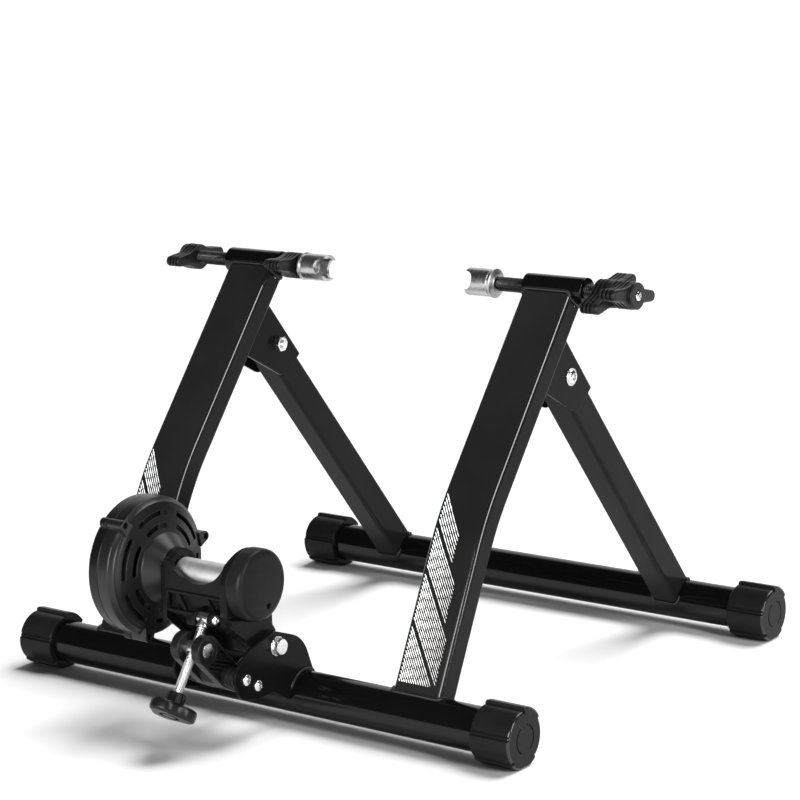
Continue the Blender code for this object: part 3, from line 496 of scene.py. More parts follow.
def moulded(name, shade, rough, edge=0.0, grit=0.12, scale=2600.0, warm=1.0, level=0.3):
    """Moulded plastic: fine spark-eroded grain, flow marks, uneven gloss."""
    mat, tree, bsdf = nodes_of(name)
    bsdf.inputs["Specular IOR Level"].default_value = level
    here = position(tree)
    fine = grain(tree, here, scale, 3.0, 0.6)
    flow = grain(tree, position(tree, (1.0, 1.0, 2.2)), 38.0, 3.0)
    slow = grain(tree, here, 14.0, 2.0)
    tree.links.new(two_colours(tree, flow, (shade * 0.88,) * 3, (shade * 1.14, shade * 1.14, shade * 1.15 * warm)), bsdf.inputs["Base Color"])
    tree.links.new(spread(tree, slow, rough * 0.9, rough * 1.15), bsdf.inputs["Roughness"])
    normal = soft_edges(tree, edge) if edge > 0 else None
    tree.links.new(bumps(tree, fine, grit, 0.0002, normal), bsdf.inputs["Normal"])
    return mat


def metal(name, shade, rough, stretch=(3200.0, 90.0, 90.0), scratch=0.06, edge=0.0, tint=(1.0, 1.0, 1.0), metallic=1.0, spot=0.12):
    """Turned or drawn metal: fine lines across the lathe's axis, slow stains."""
    mat, tree, bsdf = nodes_of(name)
    lines = grain(tree, position(tree, stretch), 1.0, 2.0)
    slow = grain(tree, position(tree), 60.0, 4.0, 0.6)
    dark = tuple(shade * (1 - spot) * t for t in tint)
    light = tuple(min(1.0, shade * (1 + spot * 0.6) * t) for t in tint)
    tree.links.new(two_colours(tree, slow, dark, light), bsdf.inputs["Base Color"])
    tree.links.new(spread(tree, lines, rough * 0.75, rough * 1.3), bsdf.inputs["Roughness"])
    bsdf.inputs["Metallic"].default_value = metallic
    normal = soft_edges(tree, edge) if edge > 0 else None
    tree.links.new(bumps(tree, lines, scratch, 0.0002, normal), bsdf.inputs["Normal"])
    return mat


PAINT = powder_coat("frame_powder_coat", 0.0022, 0.095, peel=0.03)
# The flat-sided tubes get a lighter copy of the frame coat: its brighter base is painted light on faces that the lamps
# barely reach.
PAINT_FLAT_LIT = powder_coat("frame_powder_coat_flat_painted_light", 0.0110, 0.13, peel=0.03, level=0.045)
PAINT_EDGE = powder_coat("frame_powder_coat_bend", 0.0080, 0.09, peel=0.02, level=0.60)
PAINT_WELD = powder_coat("weld_powder_coat", 0.0040, 0.22, peel=0.12)
PLATE_PAINT = powder_coat("plate_powder_coat", 0.0045, 0.20, edge=0.0006, level=0.07)
SHELL = moulded("housing_plastic", 0.0065, 0.30, edge=0.0006, grit=0.08, level=0.40)
COVER = moulded("cover_plastic", 0.0098, 0.30, edge=0.0005, grit=0.08, level=0.10)
BODY = moulded("body_plastic", 0.0052, 0.25, edge=0.0007, grit=0.06, level=0.09)
REAR_SHELL = moulded("rear_shell_plastic", 0.004, 0.30, edge=0.0006, grit=0.08, level=0.22)
LEVER = moulded("lever_plastic", 0.008, 0.26, edge=0.0006, grit=0.06, level=0.24)
KNOB = moulded("knob_plastic", 0.0085, 0.32, edge=0.0005, grit=0.10, level=0.22)
WHEEL_KNOB = moulded("hand_wheel_plastic", 0.0070, 0.22, edge=0.0006, grit=0.05, level=0.2)
CAP = moulded("cap_plastic", 0.0085, 0.28, edge=0.0004, grit=0.10, scale=2100.0, level=0.08)
CAP_EDGE = moulded("cap_plastic_edge", 0.0085, 0.19, edge=0.0003, grit=0.05, scale=2100.0, level=0.55)
ZINC = metal("zinc_steel", 0.66, 0.27, edge=0.0003)
CUP_STEEL = metal("cup_steel", 0.52, 0.28, edge=0.0003, spot=0.2)
# A darker copy of the cup steel for the cone at the back of each cup: painted shade.
CUP_PAINTED_SHADE = metal("cup_back_painted_shade_steel", 0.34, 0.36, edge=0.0003, spot=0.25)
BOLT_STEEL = metal("bolt_steel", 0.72, 0.22, (260.0, 260.0, 260.0), 0.04, edge=0.0003)
ROD_STEEL = metal("rod_steel", 0.74, 0.24, (1400.0, 1400.0, 1400.0), 0.05)
ROLLER_METAL = metal("roller_metal", 0.88, 0.46, (5200.0, 40.0, 40.0), 0.10, spot=0.08)
DARK_STEEL = metal("black_oxide_steel", 0.055, 0.24, (900.0, 900.0, 900.0), 0.05, metallic=0.85)
DISC_METAL = metal("disc_metal", 0.07, 0.42, (90.0, 1500.0, 1500.0), 0.05)
PRINT = moulded("light_print", 0.93, 0.45, grit=0.03, scale=1500.0)


# ================================================================ pieces
def place(name, bm, body, mat, replaces=(), sharp=30.0, weighted=True):
    """Makes the piece from a solid in design millimetres and puts it on its body."""
    bmesh.ops.remove_doubles(bm, verts=bm.verts, dist=1e-4)
    bmesh.ops.recalc_face_normals(bm, faces=bm.faces)
    mesh = bpy.data.meshes.new(name)
    bm.to_mesh(mesh)
    bm.free()
    mesh.transform(TO_SCENE)
    mesh.materials.clear()
    mesh.materials.append(mat)
    for face in mesh.polygons:
        face.material_index = 0
    mesh.shade_smooth()
    mesh.set_sharp_from_angle(angle=math.radians(sharp))
    obj = bpy.data.objects.new(name, mesh)
    bpy.context.scene.collection.objects.link(obj)
    if weighted:
        mod = obj.modifiers.new("normals", "WEIGHTED_NORMAL")
        mod.keep_sharp = True
        mod.weight = 60
    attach(obj, body)
    if replaces:
        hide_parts(*replaces)
    return obj


def wobble(t, seed):
    return noise.noise(Vector((t, seed * 7.31, seed * 1.77)))


def bead(name, path, r, body, closed=False, pitch=2.3, seed=1.0, n=12):
    """A weld bead: overlapping ripples of uneven size along a path."""
    pts = [Vector(p) for p in path]
    length = sum((b - a).length for a, b in zip(pts, pts[1:])) + ((pts[0] - pts[-1]).length if closed else 0.0)
    count = max(8, int(length / 0.45))
    # even spacing along the path
    out, k, run = [], 0, 0.0
    ring = pts + [pts[0]] if closed else pts
    lengths = [(b - a).length for a, b in zip(ring, ring[1:])]
    for i in range(count if closed else count + 1):
        want = length * i / count
        while k < len(lengths) - 1 and run + lengths[k] < want:
            run += lengths[k]
            k += 1
        t = (want - run) / max(lengths[k], 1e-9)
        out.append(ring[k].lerp(ring[k + 1], min(1.0, max(0.0, t))))
    turns = max(1, round(length / pitch))

    def radius(at):
        ripple = abs(math.sin(math.pi * turns * at / length))
        size = r * (0.86 + 0.2 * ripple + 0.12 * wobble(at * 0.35, seed))
        if not closed:
            size *= min(1.0, 0.35 + at / (r * 1.5), 0.35 + (length - at) / (r * 1.5))
        return size

    return place(name, sweep(out, radius, n, closed), body, PAINT_WELD, sharp=60.0)


# ---------------------------------------------------------------- base tubes
def base_tube(name, y, body):
    end = HALF - 4.3
    profile = [(-end, 17.3, 0), (-end, TUBE_R, 0.4), (end, TUBE_R, 0.4), (end, 17.3, 0)]
    return place(name + "_look", turned_part(profile, 144, (y, TUBE_Z)), body, PAINT, [name])


base_tube("rear_base_tube", 0.0, "rear_frame")
base_tube("front_base_tube", FRONT_Y, "front_frame")

# ---------------------------------------------------------------- end caps
# sector start, sector end (degrees, from +Y through +Z) and outer radius
CAP_SECTORS = ((32, 90, 26.5), (90, 166, 23.7), (166, 226, 24.6), (226, 310, 25.86), (310, 392, 24.0))
CAP_FLAT = 24.9


def cap_radius(angle, r):
    if r == 25.86:
        lean = math.cos(math.radians(angle - 270))
        return min(r, CAP_FLAT / max(lean, 0.2))
    return r


def cap_outline():
    out = []
    for a0, a1, r in CAP_SECTORS:
        wide = 5.2 if a0 == 166 or a1 == 166 else 2.0
        first, last = a0 + wide, a1 - wide
        out.append((a0 + wide * 0.62, 22.3))
        out.append((first - 0.3, cap_radius(first, r) - 0.55))
        n = max(6, int((last - first) / 3.0))
        for k in range(n + 1):
            a = first + 0.7 + (last - first - 1.4) * k / n
            out.append((a, cap_radius(a, r)))
        out.append((last + 0.3, cap_radius(last, r) - 0.55))
        out.append((a1 - wide * 0.62, 22.3))
        if a1 == 166:
            # a low rib between two grooves
            out += [(164.6, 22.4), (164.9, 23.5), (167.1, 23.6), (167.4, 22.4)]
    return out


def end_cap(name, side, y, body):
    shape = cap_outline()
    stations = [(5.0, 1.7), (5.3, 0.9), (5.9, 0.35), (6.7, 0.0)]
    stations += [(44.0 - 2.4 * (1 - math.sin(math.radians(t))), 2.4 * (1 - math.cos(math.radians(t)))) for t in range(0, 91, 10)]
    bm = bmesh.new()
    rings = []
    for u, amount in stations:
        x = side * (HALF - 44.0 + u)
        rings.append([
            bm.verts.new((
                x,
                y + (r - amount * (1.0 if r > 22.6 else 0.55)) * math.cos(math.radians(a)),
                TUBE_Z + (r - amount * (1.0 if r > 22.6 else 0.55)) * math.sin(math.radians(a)),
            ))
            for a, r in shape
        ])
    quads(bm, rings, closed=False)
    bm.faces.new(rings[0][::-1])
    bm.faces.new(rings[-1])
    x0, x1 = sorted((side * (HALF - 50.0), side * (HALF - 4.0)))
    bm = cut(bm, rod(x0, x1, TUBE_R + 0.15, 144, (y, TUBE_Z)))
    # two arcs and a gate mark sunk in the end face
    face = side * HALF
    marks = bmesh.new()
    for a0, a1 in ((-58, 64), (118, 240)):
        ring = arc(y, TUBE_Z, 12.7, a0, a1, 40) + arc(y, TUBE_Z, 11.3, a1, a0, 40)
        prism(ring, face - 1.3, face + 0.9, marks)
    rod(face - 1.2, face + 1.2, 0.85, 20, (y + 12.0 * math.cos(math.radians(73)), TUBE_Z + 12.0 * math.sin(math.radians(73))), marks)
    bm = cut(bm, marks)
    obj = place(name + "_look", bm, body, CAP, [name], sharp=24.0)
    obj.data.materials.append(CAP_EDGE)
    for part in obj.data.polygons:
        if 0.25 < part.normal.x * side < 0.97 and abs(part.center.x) > (HALF - 2.6) * MM:
            part.material_index = 1
    return obj


for side, word in ((1, "right"), (-1, "left")):
    end_cap(f"end_cap_rear_{word}", side, 0.0, f"cap_rear_{word}")
    end_cap(f"end_cap_front_{word}", side, FRONT_Y, f"cap_front_{word}")

# ---------------------------------------------------------------- uprights
LOW = Vector((0.0, TUBE_Z))
LEAN_LOW = math.atan2(KNEE[0] - LOW.x, KNEE[1] - LOW.y)
LEAN_TOP = math.atan2(CLAMP[0] - KNEE[0], CLAMP[1] - KNEE[1])
D_LOW = (Vector(KNEE) - LOW).normalized()
D_TOP = (Vector(CLAMP) - Vector(KNEE)).normalized()
BEND_REACH = KNEE_R * math.tan((LEAN_TOP - LEAN_LOW) / 2)
BEND_START = Vector(KNEE) - D_LOW * BEND_REACH
BEND_CENTRE = BEND_START + Vector((D_LOW.y, -D_LOW.x)) * KNEE_R
BEND_END = Vector(KNEE) + D_TOP * BEND_REACH
RUN_LOW = (BEND_START - LOW).length
RUN_BEND = KNEE_R * (LEAN_TOP - LEAN_LOW)
RUN_TOP = (Vector(CLAMP) - BEND_END).length


def upright_at(s):
    """(y, z, lean) on the upright's centre line, s millimetres up from the rear tube's axis."""
    if s <= RUN_LOW:
        p = LOW + D_LOW * s
        return (p.x, p.y, LEAN_LOW)
    if s <= RUN_LOW + RUN_BEND:
        lean = LEAN_LOW + (s - RUN_LOW) / KNEE_R
        return (BEND_CENTRE.x - KNEE_R * math.cos(lean), BEND_CENTRE.y + KNEE_R * math.sin(lean), lean)
    p = BEND_END + D_TOP * (s - RUN_LOW - RUN_BEND)
    return (p.x, p.y, LEAN_TOP)


def glossy_corners(obj):
    """The coat runs thicker and shinier over the tube's rounded corners."""
    obj.data.materials.append(PAINT_EDGE)
    for face in obj.data.polygons:
        n = face.normal
        if 0.30 < abs(n.x) < 0.90 and n.y < -0.15:
            face.material_index = 1


def upright(name, side):
    x = side * UPRIGHT_X
    marks = [0.0, RUN_LOW * 0.5] + [RUN_LOW + RUN_BEND * k / 28 for k in range(29)] + [RUN_LOW + RUN_BEND + RUN_TOP * 0.5, RUN_LOW + RUN_BEND + RUN_TOP]
    bm = rect_tube(x, [upright_at(s) for s in marks], UPRIGHT_W / 2, UPRIGHT_D / 2, 4.6, 1.6)
    bm = cut(bm, rod(x - 40, x + 40, TUBE_R - 0.05, 144, (0.0, TUBE_Z)))
    bm = cut(bm, rod(x - 40, x + 40, SLEEVE_R + 3.0, 96, CLAMP))
    glossy_corners(place(name + "_look", bm, "rear_frame", PAINT_FLAT_LIT, [name]))
    section = rect_section(UPRIGHT_W / 2, UPRIGHT_D / 2, 4.6, 6)
    low, top = [], []
    for u, v in section:
        grow = 1.02
        u2, v2 = u * grow, v * (grow + 0.03)
        s = math.sqrt(max(1.0, (TUBE_R + 0.5) ** 2 - v2 * v2))
        p = LOW + Vector((math.cos(LEAN_LOW), -math.sin(LEAN_LOW))) * v2 + D_LOW * s
        low.append((x + u2, p.x, p.y))
        v3 = min(max(v2 * 0.94, -11.6), 11.6)
        s = math.sqrt(max(0.5, (SLEEVE_R + 1.5) ** 2 - v3 * v3))
        p = Vector(CLAMP) + Vector((math.cos(LEAN_TOP), -math.sin(LEAN_TOP))) * v3 - D_TOP * s
        top.append((x + u2 * 0.965, p.x, p.y))
    bead(f"weld_{name}_foot", low, 2.3, "rear_frame", closed=True, seed=2.0 + side)
    bead(f"weld_{name}_head", top, 1.9, "rear_frame", closed=True, pitch=2.2, seed=5.0 + side)


def sleeve(name, side):
    a, b = 138.5, 200.0
    x0, x1 = sorted((side * a, side * b))
    profile = [(x0, 6.9, 0.5), (x0, SLEEVE_R, 0.7), (x1, SLEEVE_R, 0.7), (x1, 6.9, 0.5)]
    return place(name + "_look", turned_part(profile, 96, CLAMP), "rear_frame", PAINT, [name])


for side, word in ((1, "right"), (-1, "left")):
    upright(f"upright_{word}", side)
    sleeve(f"clamp_sleeve_{word}", side)


# ---- printed hatch low on the uprights' rear faces ------------------------
HATCH_SLOPE = 1.42
# foot and head of each band at the inner edge, its reach across the face
HATCH_BANDS = ((25.0, 73.0, 39.0), (77.6, 118.5, 37.0), (123.1, 158.0, 32.0), (162.4, 188.0, 24.0))
HATCH_FOOT = 24.5


def hatch(name, side):
    """Fine light strokes in four slanting bands, as thin printed strips on the rear face."""
    bm = bmesh.new()
    x_mid = side * UPRIGHT_X
    inner = -UPRIGHT_W / 2 + 4.2
    size = math.hypot(1.0, HATCH_SLOPE)
    du, ds = 1.0 / size, -HATCH_SLOPE / size           # along a stroke
    nu, ns = HATCH_SLOPE / size, 1.0 / size            # across it

    def point(u, s, lift):
        y, z, lean = upright_at(s)
        d = -UPRIGHT_D / 2 - lift
        return (x_mid + inner + u, y + d * math.cos(lean), z - d * math.sin(lean))

    def stroke(u0, s0, length, w0, w1):
        steps = max(2, int(length / 3.5))
        rings = []
        for k in range(steps + 1):
            t = k / steps
            w = (w0 + (w1 - w0) * t) / 2
            if k in (0, steps):
                w *= 0.55
            u, s = u0 + du * length * t, s0 + ds * length * t
            rings.append([bm.verts.new(point(*q)) for q in (
                (u - nu * w, s - ns * w, 0.0), (u + nu * w, s + ns * w, 0.0), (u + nu * w, s + ns * w, 0.045), (u - nu * w, s - ns * w, 0.045))])
        quads(bm, rings, closed=False)
        bm.faces.new(rings[0][::-1])
        bm.faces.new(rings[-1])

    pitch = 1.86 * size                                # from stroke to stroke, up the face
    for b, (foot, head, reach) in enumerate(HATCH_BANDS):
        count = int((head - foot) / pitch)
        for j in range(count):
            start = foot + (head - foot) * (j + 0.5) / count
            end = min(reach, (start - HATCH_FOOT) / HATCH_SLOPE)
            if b == 0:
                end = min(end, 36.5)
            total = end / du
            at = 0.25
            piece = 2.2 + 6.6 * ((j * 0.382 + b * 0.21) % 1.0)
            while at < total - 0.8:
                run = min(piece, total - at)
                if run > 0.9:
                    share = (at + run / 2) * du / 39.0
                    w = max(0.42, 1.34 - 0.95 * share) * (0.94 + 0.1 * math.sin(j * 2.1 + at))
                    stroke(at * du, start + at * ds, run, w, w * 0.9)
                at += run + 0.55
                piece = 8.8 + 1.2 * math.sin(j * 1.3 + b + at * 0.2)
    return place(name, bm, "rear_frame", PRINT, sharp=40.0, weighted=False)


hatch("hatch_right", 1)
hatch("hatch_left", -1)

# ---------------------------------------------------------------- fold brackets and legs
LEG_DIR = Vector((FRONT_Y - FOLD[0], TUBE_Z - FOLD[1])).normalized()
LEG_FRONT = Vector((-LEG_DIR.y, LEG_DIR.x))
LEG_LEN = (Vector((FRONT_Y, TUBE_Z)) - Vector(FOLD)).length
UP_FRONT = Vector((D_TOP.y, -D_TOP.x))
WEB_OUT = LEG_D / 2 + 0.2 + BRACKET_T


def along_leg(s, n):
    p = Vector(FOLD) + LEG_DIR * s + LEG_FRONT * n
    return (p.x, p.y)


def upright_front(s, n=UPRIGHT_D / 2 - 0.4):
    p = Vector(CLAMP) - D_TOP * s + UP_FRONT * n
    return (p.x, p.y)


def bracket_outline():
    target, base = Vector(along_leg(0, WEB_OUT)), Vector(upright_front(0))
    det = -D_TOP.x * -LEG_DIR.y - -LEG_DIR.x * -D_TOP.y
    rhs = target - base
    a = (rhs.x * -LEG_DIR.y - -LEG_DIR.x * rhs.y) / det
    top = base - D_TOP * a
    low = upright_front(a + 58.0)
    return [(top.x, top.y, 0.0), (*along_leg(32.4, WEB_OUT), 3.0), (*along_leg(33.5, -14.0), 11.0), (*low, 0.0)], a


def leg_prism(half_w, n0, n1, corner, s0, s1, x):
    """A rounded bar along the leg: x plus or minus half_w, n0 to n1 off its centre line."""
    bm = bmesh.new()
    mid, half_n = (n0 + n1) / 2, (n1 - n0) / 2
    section = rect_section(half_w, half_n, corner, 6)
    rings = []
    for s in (s0, s1):
        ring = []
        for u, v in section:
            y, z = along_leg(s, mid + v)
            ring.append(bm.verts.new((x + u, y, z)))
        rings.append(ring)
    quads(bm, rings, closed=False)
    bm.faces.new(rings[0][::-1])
    bm.faces.new(rings[-1])
    return bm


def bracket(name, side):
    x = side * LEG_X
    corners, a = bracket_outline()
    outline = fillet(corners, 10)
    bm = slab(outline, x - BRACKET_HALF, x + BRACKET_HALF, 0.35)
    # folded edges along the web, then the channel
    bm = keep(bm, leg_prism(BRACKET_HALF, -120.0, WEB_OUT, 3.6, -120.0, 90.0, x))
    bm = cut(bm, leg_prism(BRACKET_HALF - BRACKET_T, -140.0, WEB_OUT - BRACKET_T, 1.2, -140.0, 110.0, x))
    bm = cut(bm, rod(x - 40, x + 40, 4.2, 40, FOLD))
    place(name + "_look", bm, "rear_frame", PLATE_PAINT, [name])
    for edge, tag in ((x - BRACKET_HALF - 0.1, "a"), (x + BRACKET_HALF + 0.1, "b")):
        path = [(edge, *upright_front(a + 2.0 + 54.5 * k / 30, UPRIGHT_D / 2 + 0.2)) for k in range(31)]
        bead(f"weld_{name}_{tag}", path, 0.95, "rear_frame", pitch=1.8, seed=9.0 + side)


def leg(name, side):
    x = side * LEG_X
    lean = math.atan2(LEG_DIR.x, LEG_DIR.y)
    stations = [(FOLD[0] + LEG_DIR.x * s, FOLD[1] + LEG_DIR.y * s, lean) for s in (-LEG_D / 2 + 0.2, 60.0, 200.0, LEG_LEN)]
    bm = rect_tube(x, stations, LEG_W / 2, LEG_D / 2, 3.6, 1.6)
    bm = cut(bm, rod(x - 40, x + 40, TUBE_R - 0.05, 144, (FRONT_Y, TUBE_Z)))
    keep_r = LEG_D / 2
    ring = [Vector(FOLD) + LEG_DIR * (-keep_r * math.sin(math.radians(a))) + LEG_FRONT * (keep_r * math.cos(math.radians(a))) for a in range(0, 181, 6)]
    shape = [Vector(FOLD) + LEG_FRONT * (keep_r + 6)] + ring + [
        Vector(FOLD) - LEG_FRONT * (keep_r + 6),
        Vector(FOLD) - LEG_FRONT * (keep_r + 6) - LEG_DIR * (keep_r + 6),
        Vector(FOLD) + LEG_FRONT * (keep_r + 6) - LEG_DIR * (keep_r + 6),
    ]
    bm = cut(bm, prism([(p.x, p.y) for p in shape], x - 30, x + 30))
    bm = cut(bm, rod(x - 30, x + 30, 4.2, 40, FOLD))
    place(name + "_look", bm, "front_frame", PAINT_FLAT_LIT, [name])
    path = []
    for u, v in rect_section(LEG_W / 2, LEG_D / 2, 3.6, 6):
        u2, v2 = u * 1.03, v * 1.03
        s = math.sqrt(max(1.0, (TUBE_R + 0.4) ** 2 - v2 * v2))
        p = Vector((FRONT_Y, TUBE_Z)) + Vector((math.cos(lean), -math.sin(lean))) * v2 - LEG_DIR * s
        path.append((x + u2, p.x, p.y))
    bead(f"weld_{name}_foot", path, 1.9, "front_frame", closed=True, seed=13.0 + side)


def fold_bolt(name, side):
    x = side * LEG_X
    s = side
    face = BRACKET_HALF
    shank = turned_part([(x - s * (face + 9.0), 0, 0), (x - s * (face + 9.0), 3.9, 0.6), (x + s * (face + 0.3), 3.9, 0), (x + s * (face + 0.3), 0, 0)], 40, FOLD)
    washer = turned_part([(x + s * (face + 0.1), 0, 0), (x + s * (face + 0.1), 8.0, 0.3), (x + s * (face + 1.1), 8.0, 0.4), (x + s * (face + 1.1), 0, 0)], 72, FOLD)
    dome = [(0.0, 6.5)] + [(2.7 * math.sin(math.radians(t)), 6.7 * math.cos(math.radians(t)) ** 0.62) for t in (8, 20, 32, 44, 56, 66, 74)]
    head = [(x + s * (face + 1.0), 0)] + [(x + s * (face + 1.0 + u), r) for u, r in dome] + [(x + s * (face + 3.68), 0)]
    head = lathe(head, 72, FOLD)
    head = cut(head, prism(hex_outline(5.6, FOLD, 0.3), *sorted((x + s * (face + 1.3), x + s * (face + 9)))))
    bm = join(join(head, washer), shank)
    return place(name + "_look", bm, "rear_frame", BOLT_STEEL, [name])


def nut(x0, x1, flats, bore, centre, start=0.0, n=48):
    """A hexagon nut with chamfered corners."""
    bm = prism(hex_outline(flats, centre, start), x0, x1)
    r = flats / math.sqrt(3)
    c = 0.6
    lens = turned_part([(x0, 0, 0), (x0, flats / 2 - 0.1, 0), (x0 + c * 1.2, r + 0.2, 0), (x1 - c * 1.2, r + 0.2, 0), (x1, flats / 2 - 0.1, 0), (x1, 0, 0)], n, centre)
    bm = keep(bm, lens)
    if bore > 0:
        bm = cut(bm, rod(x0 - 2, x1 + 2, bore, 40, centre))
    return bm


def fold_nut(name, side):
    x = side * (LEG_X - BRACKET_HALF - 0.3)
    x0, x1 = sorted((x, x - side * 6.4))
    return place(name + "_look", nut(x0, x1, 13.0, 4.1, FOLD), "rear_frame", BOLT_STEEL, [name])


for side, word in ((1, "right"), (-1, "left")):
    bracket(f"hinge_bracket_{word}", side)
    leg(f"leg_{word}", side)
    fold_bolt(f"fold_bolt_{word}", side)
    fold_nut(f"fold_nut_{word}", side)

# ---------------------------------------------------------------- clamps
KNOB_REACH = 34.0


def handle_outline(turn, grow=0.0):
    """T-handle: a round hub with two arms that swell into it, smooth all round."""
    tip = 5.0
    upper = [(KNOB_REACH - tip + tip * math.cos(math.radians(f)), tip * math.sin(math.radians(f))) for f in range(0, 91, 10)]
    upper += spline([(KNOB_REACH - tip, 5.0), (24.0, 5.5), (17.0, 6.1), (13.4, 7.0), (10.4, 8.3), (8.2, 9.35)], 5)[1:]
    upper += [(12.2 * math.cos(math.radians(f)), 12.2 * math.sin(math.radians(f))) for f in range(54, 91, 4)]
    shape = upper + [(-u, v) for u, v in upper[-2::-1]]
    shape = shape + [(u, -v) for u, v in shape[-2:0:-1]]
    return turned(clean(shape, 0.2), turn, CLAMP)


def handle(inner, s, length, turn, ribs=True):
    """The handle's solid: deep grooves round the arms, rounded ends."""
    outline = handle_outline(turn)
    st = [(0.0, 1.5), (0.35, 0.75), (1.0, 0.2), (1.7, 0.0)]
    if ribs:
        for k in range(int((length - 4.0) / 3.9)):
            g = 1.95 + 3.9 * k
            st += [(g, 0.0), (g + 0.2, 0.35), (g + 0.4, 2.1), (g + 0.7, 2.5), (g + 1.5, 2.5), (g + 1.8, 2.1), (g + 2.0, 0.35), (g + 2.2, 0.0)]
    st += [(length - 1.9, 0.0), (length - 1.0, 0.25), (length - 0.35, 0.85), (length, 1.8)]
    return stack(outline, [(inner + s * u, amount) for u, amount in st])


def end_knob(name, inner, s, body, turn):
    bm = handle(inner, s, 16.0, turn)
    x0, x1 = inner + s * 12.0, inner + s * 19.0
    bm = join(bm, turned_part([(x0, 0, 0), (x0, 11.8, 0), (x1, 11.8, 1.1), (x1, 0, 0)], 96, CLAMP))
    a, b = sorted((inner - s * 2.0, inner + s * 13.4))
    bm = cut(bm, rod(a, b, SPINDLE_R + 0.15, 64, CLAMP))
    a, b = sorted((x1 - s * 0.9, x1 + s * 3.0))
    bm = cut(bm, rod(a, b, 5.3, 48, CLAMP))
    return place(name + "_look", bm, body, KNOB, [name], sharp=35.0)


def knob_screw(name, inner, s, body):
    x = inner + s * 18.15
    head = [(x - s * 9.0, 0, 0), (x - s * 9.0, 1.9, 0), (x, 1.9, 0), (x, 4.4, 0.2), (x + s * 1.5, 4.1, 0.8), (x + s * 2.3, 2.4, 0.4), (x + s * 2.3, 0, 0)]
    bm = turned_part(head, 56, CLAMP)
    a, b = sorted((x + s * 1.0, x + s * 5.0))
    cross = prism(turned([(-2.3, -0.45), (2.3, -0.45), (2.3, 0.45), (-2.3, 0.45)], 0.5, CLAMP), a, b)
    bm = cut(bm, cross)
    bm = cut(bm, prism(turned([(-2.3, -0.45), (2.3, -0.45), (2.3, 0.45), (-2.3, 0.45)], 0.5 + math.pi / 2, CLAMP), a, b))
    return place(name + "_look", bm, body, BOLT_STEEL, [name])


def lock_knob(name, inner, body, turn, s):
    """s is +1 where the ribs are on the low-x side."""
    bm = handle(inner if s > 0 else inner + 18.5, s, 18.5, turn)
    bm = cut(bm, rod(inner - 3, inner + 22, SPINDLE_R + 0.15, 64, CLAMP))
    return place(name + "_look", bm, body, KNOB, [name], sharp=35.0)


def cup(name, mouth, back, body, s):
    depth = abs(back - mouth)

    def p(d, r, e=0.0):
        return (mouth + s * d, r, e)

    corners = [
        p(18.5, 0), p(18.5, 9.4, 0.4), p(0.0, 9.4, 0.5), p(0.0, 12.5, 0.5), p(24.4, 12.5, 0.3), p(25.0, 11.8, 0.2), p(25.7, 11.8, 0.2),
        p(26.1, 13.2, 0.4), p(28.0, 13.2, 0.5), p(28.6, 12.3, 0.2), p(depth - 0.5, 9.0, 0.4), p(depth, 8.3, 0.3), p(depth, 5.2, 0.2), p(21.5, 5.2, 0), p(21.5, 0),
    ]
    corners = [c if len(c) == 3 else (*c, 0.0) for c in corners]
    bm = turned_part(corners, 112, CLAMP)
    # round notch across the mouth for the axle's lever, turned up a little at the rear
    notch = rod(-30, 30, 8.2, 96, matrix=Matrix.Rotation(math.radians(-14), 4, "X") @ Matrix.Rotation(math.radians(90), 4, "Z"))
    bmesh.ops.translate(notch, verts=notch.verts, vec=(mouth + s * 0.9, CLAMP[0], CLAMP[1]))
    bm = cut(bm, notch)
    obj = place(name + "_look", bm, body, CUP_STEEL, [name])
    obj.data.materials.append(CUP_PAINTED_SHADE)
    # faces on the back cone take the darker steel copy, painted shade
    for face in obj.data.polygons:
        if abs(face.center.x) > (abs(mouth) + 28.2) * MM:
            face.material_index = 1
    return obj


def spindle(name, nose, inner, body, s):
    neck = abs(inner - nose) + 2.5
    a, b = nose + s * 8.6, nose + s * neck
    x0, x1 = sorted((a, b))
    bm = thread(x0, x1, SPINDLE_R, 1.2, 2.0, CLAMP, n=44, hand=1, rows=8)
    tip = turned_part([(nose, 0, 0), (nose, 4.7, 0.5), (a + s * 1.4, 4.7, 0), (a + s * 1.4, 0, 0)], 48, CLAMP)
    tail = turned_part([(b - s * 1.4, 0, 0), (b - s * 1.4, 5.0, 0), (b + s * 10.0, 5.0, 0.4), (b + s * 10.0, 0, 0)], 48, CLAMP)
    bm = join(join(bm, tip), tail)
    return place(name + "_look", bm, body, DARK_STEEL, [name], sharp=50.0, weighted=False)


cup("cup_right", 76.8, 107.6, "cup_right_body", 1)
spindle("spindle_right", 99.6, 232.0, "spindle_right_body", 1)
end_knob("end_knob_right", 232.0, 1, "spindle_right_body", math.radians(-8))
knob_screw("knob_screw_right", 232.0, 1, "spindle_right_body")
lock_knob("lock_knob_right", 211.5, "lock_right_body", math.radians(18), 1)

cup("cup_left", -83.2, -114.0, "cup_left_body", -1)
spindle("spindle_left", -106.0, -239.0, "spindle_left_body", -1)
end_knob("end_knob_left", -239.0, -1, "spindle_left_body", math.radians(2))
knob_screw("knob_screw_left", -239.0, -1, "spindle_left_body")
lock_knob("lock_knob_left", -134.5, "lock_left_body", math.radians(-8), -1)

# ---------------------------------------------------------------- plates on the rear tube
PLATE = [(-84, 40, 12), (-93, 62, 12), (-71, 80, 14), (-36, 88, 14), (1, 74, 34), (16, 36, 4), (4, 22, 0), (-14, 20, 0), (-41, 36, 6), (-62, 35, 10)]


def unit_plate(name, x0, x1):
    bm = slab(fillet(PLATE, 14), x0, x1, 0.55)
    bm = cut(bm, rod(x0 - 5, x1 + 5, TUBE_R - 0.05, 144, (0.0, TUBE_Z)))
    for centre, r in ((TILT, 4.2), (SCREW_REAR, 2.7), (SCREW_FRONT, 2.7)):
        bm = cut(bm, rod(x0 - 5, x1 + 5, r, 40, centre))
    place(name + "_look", bm, "rear_frame", PLATE_PAINT, [name])


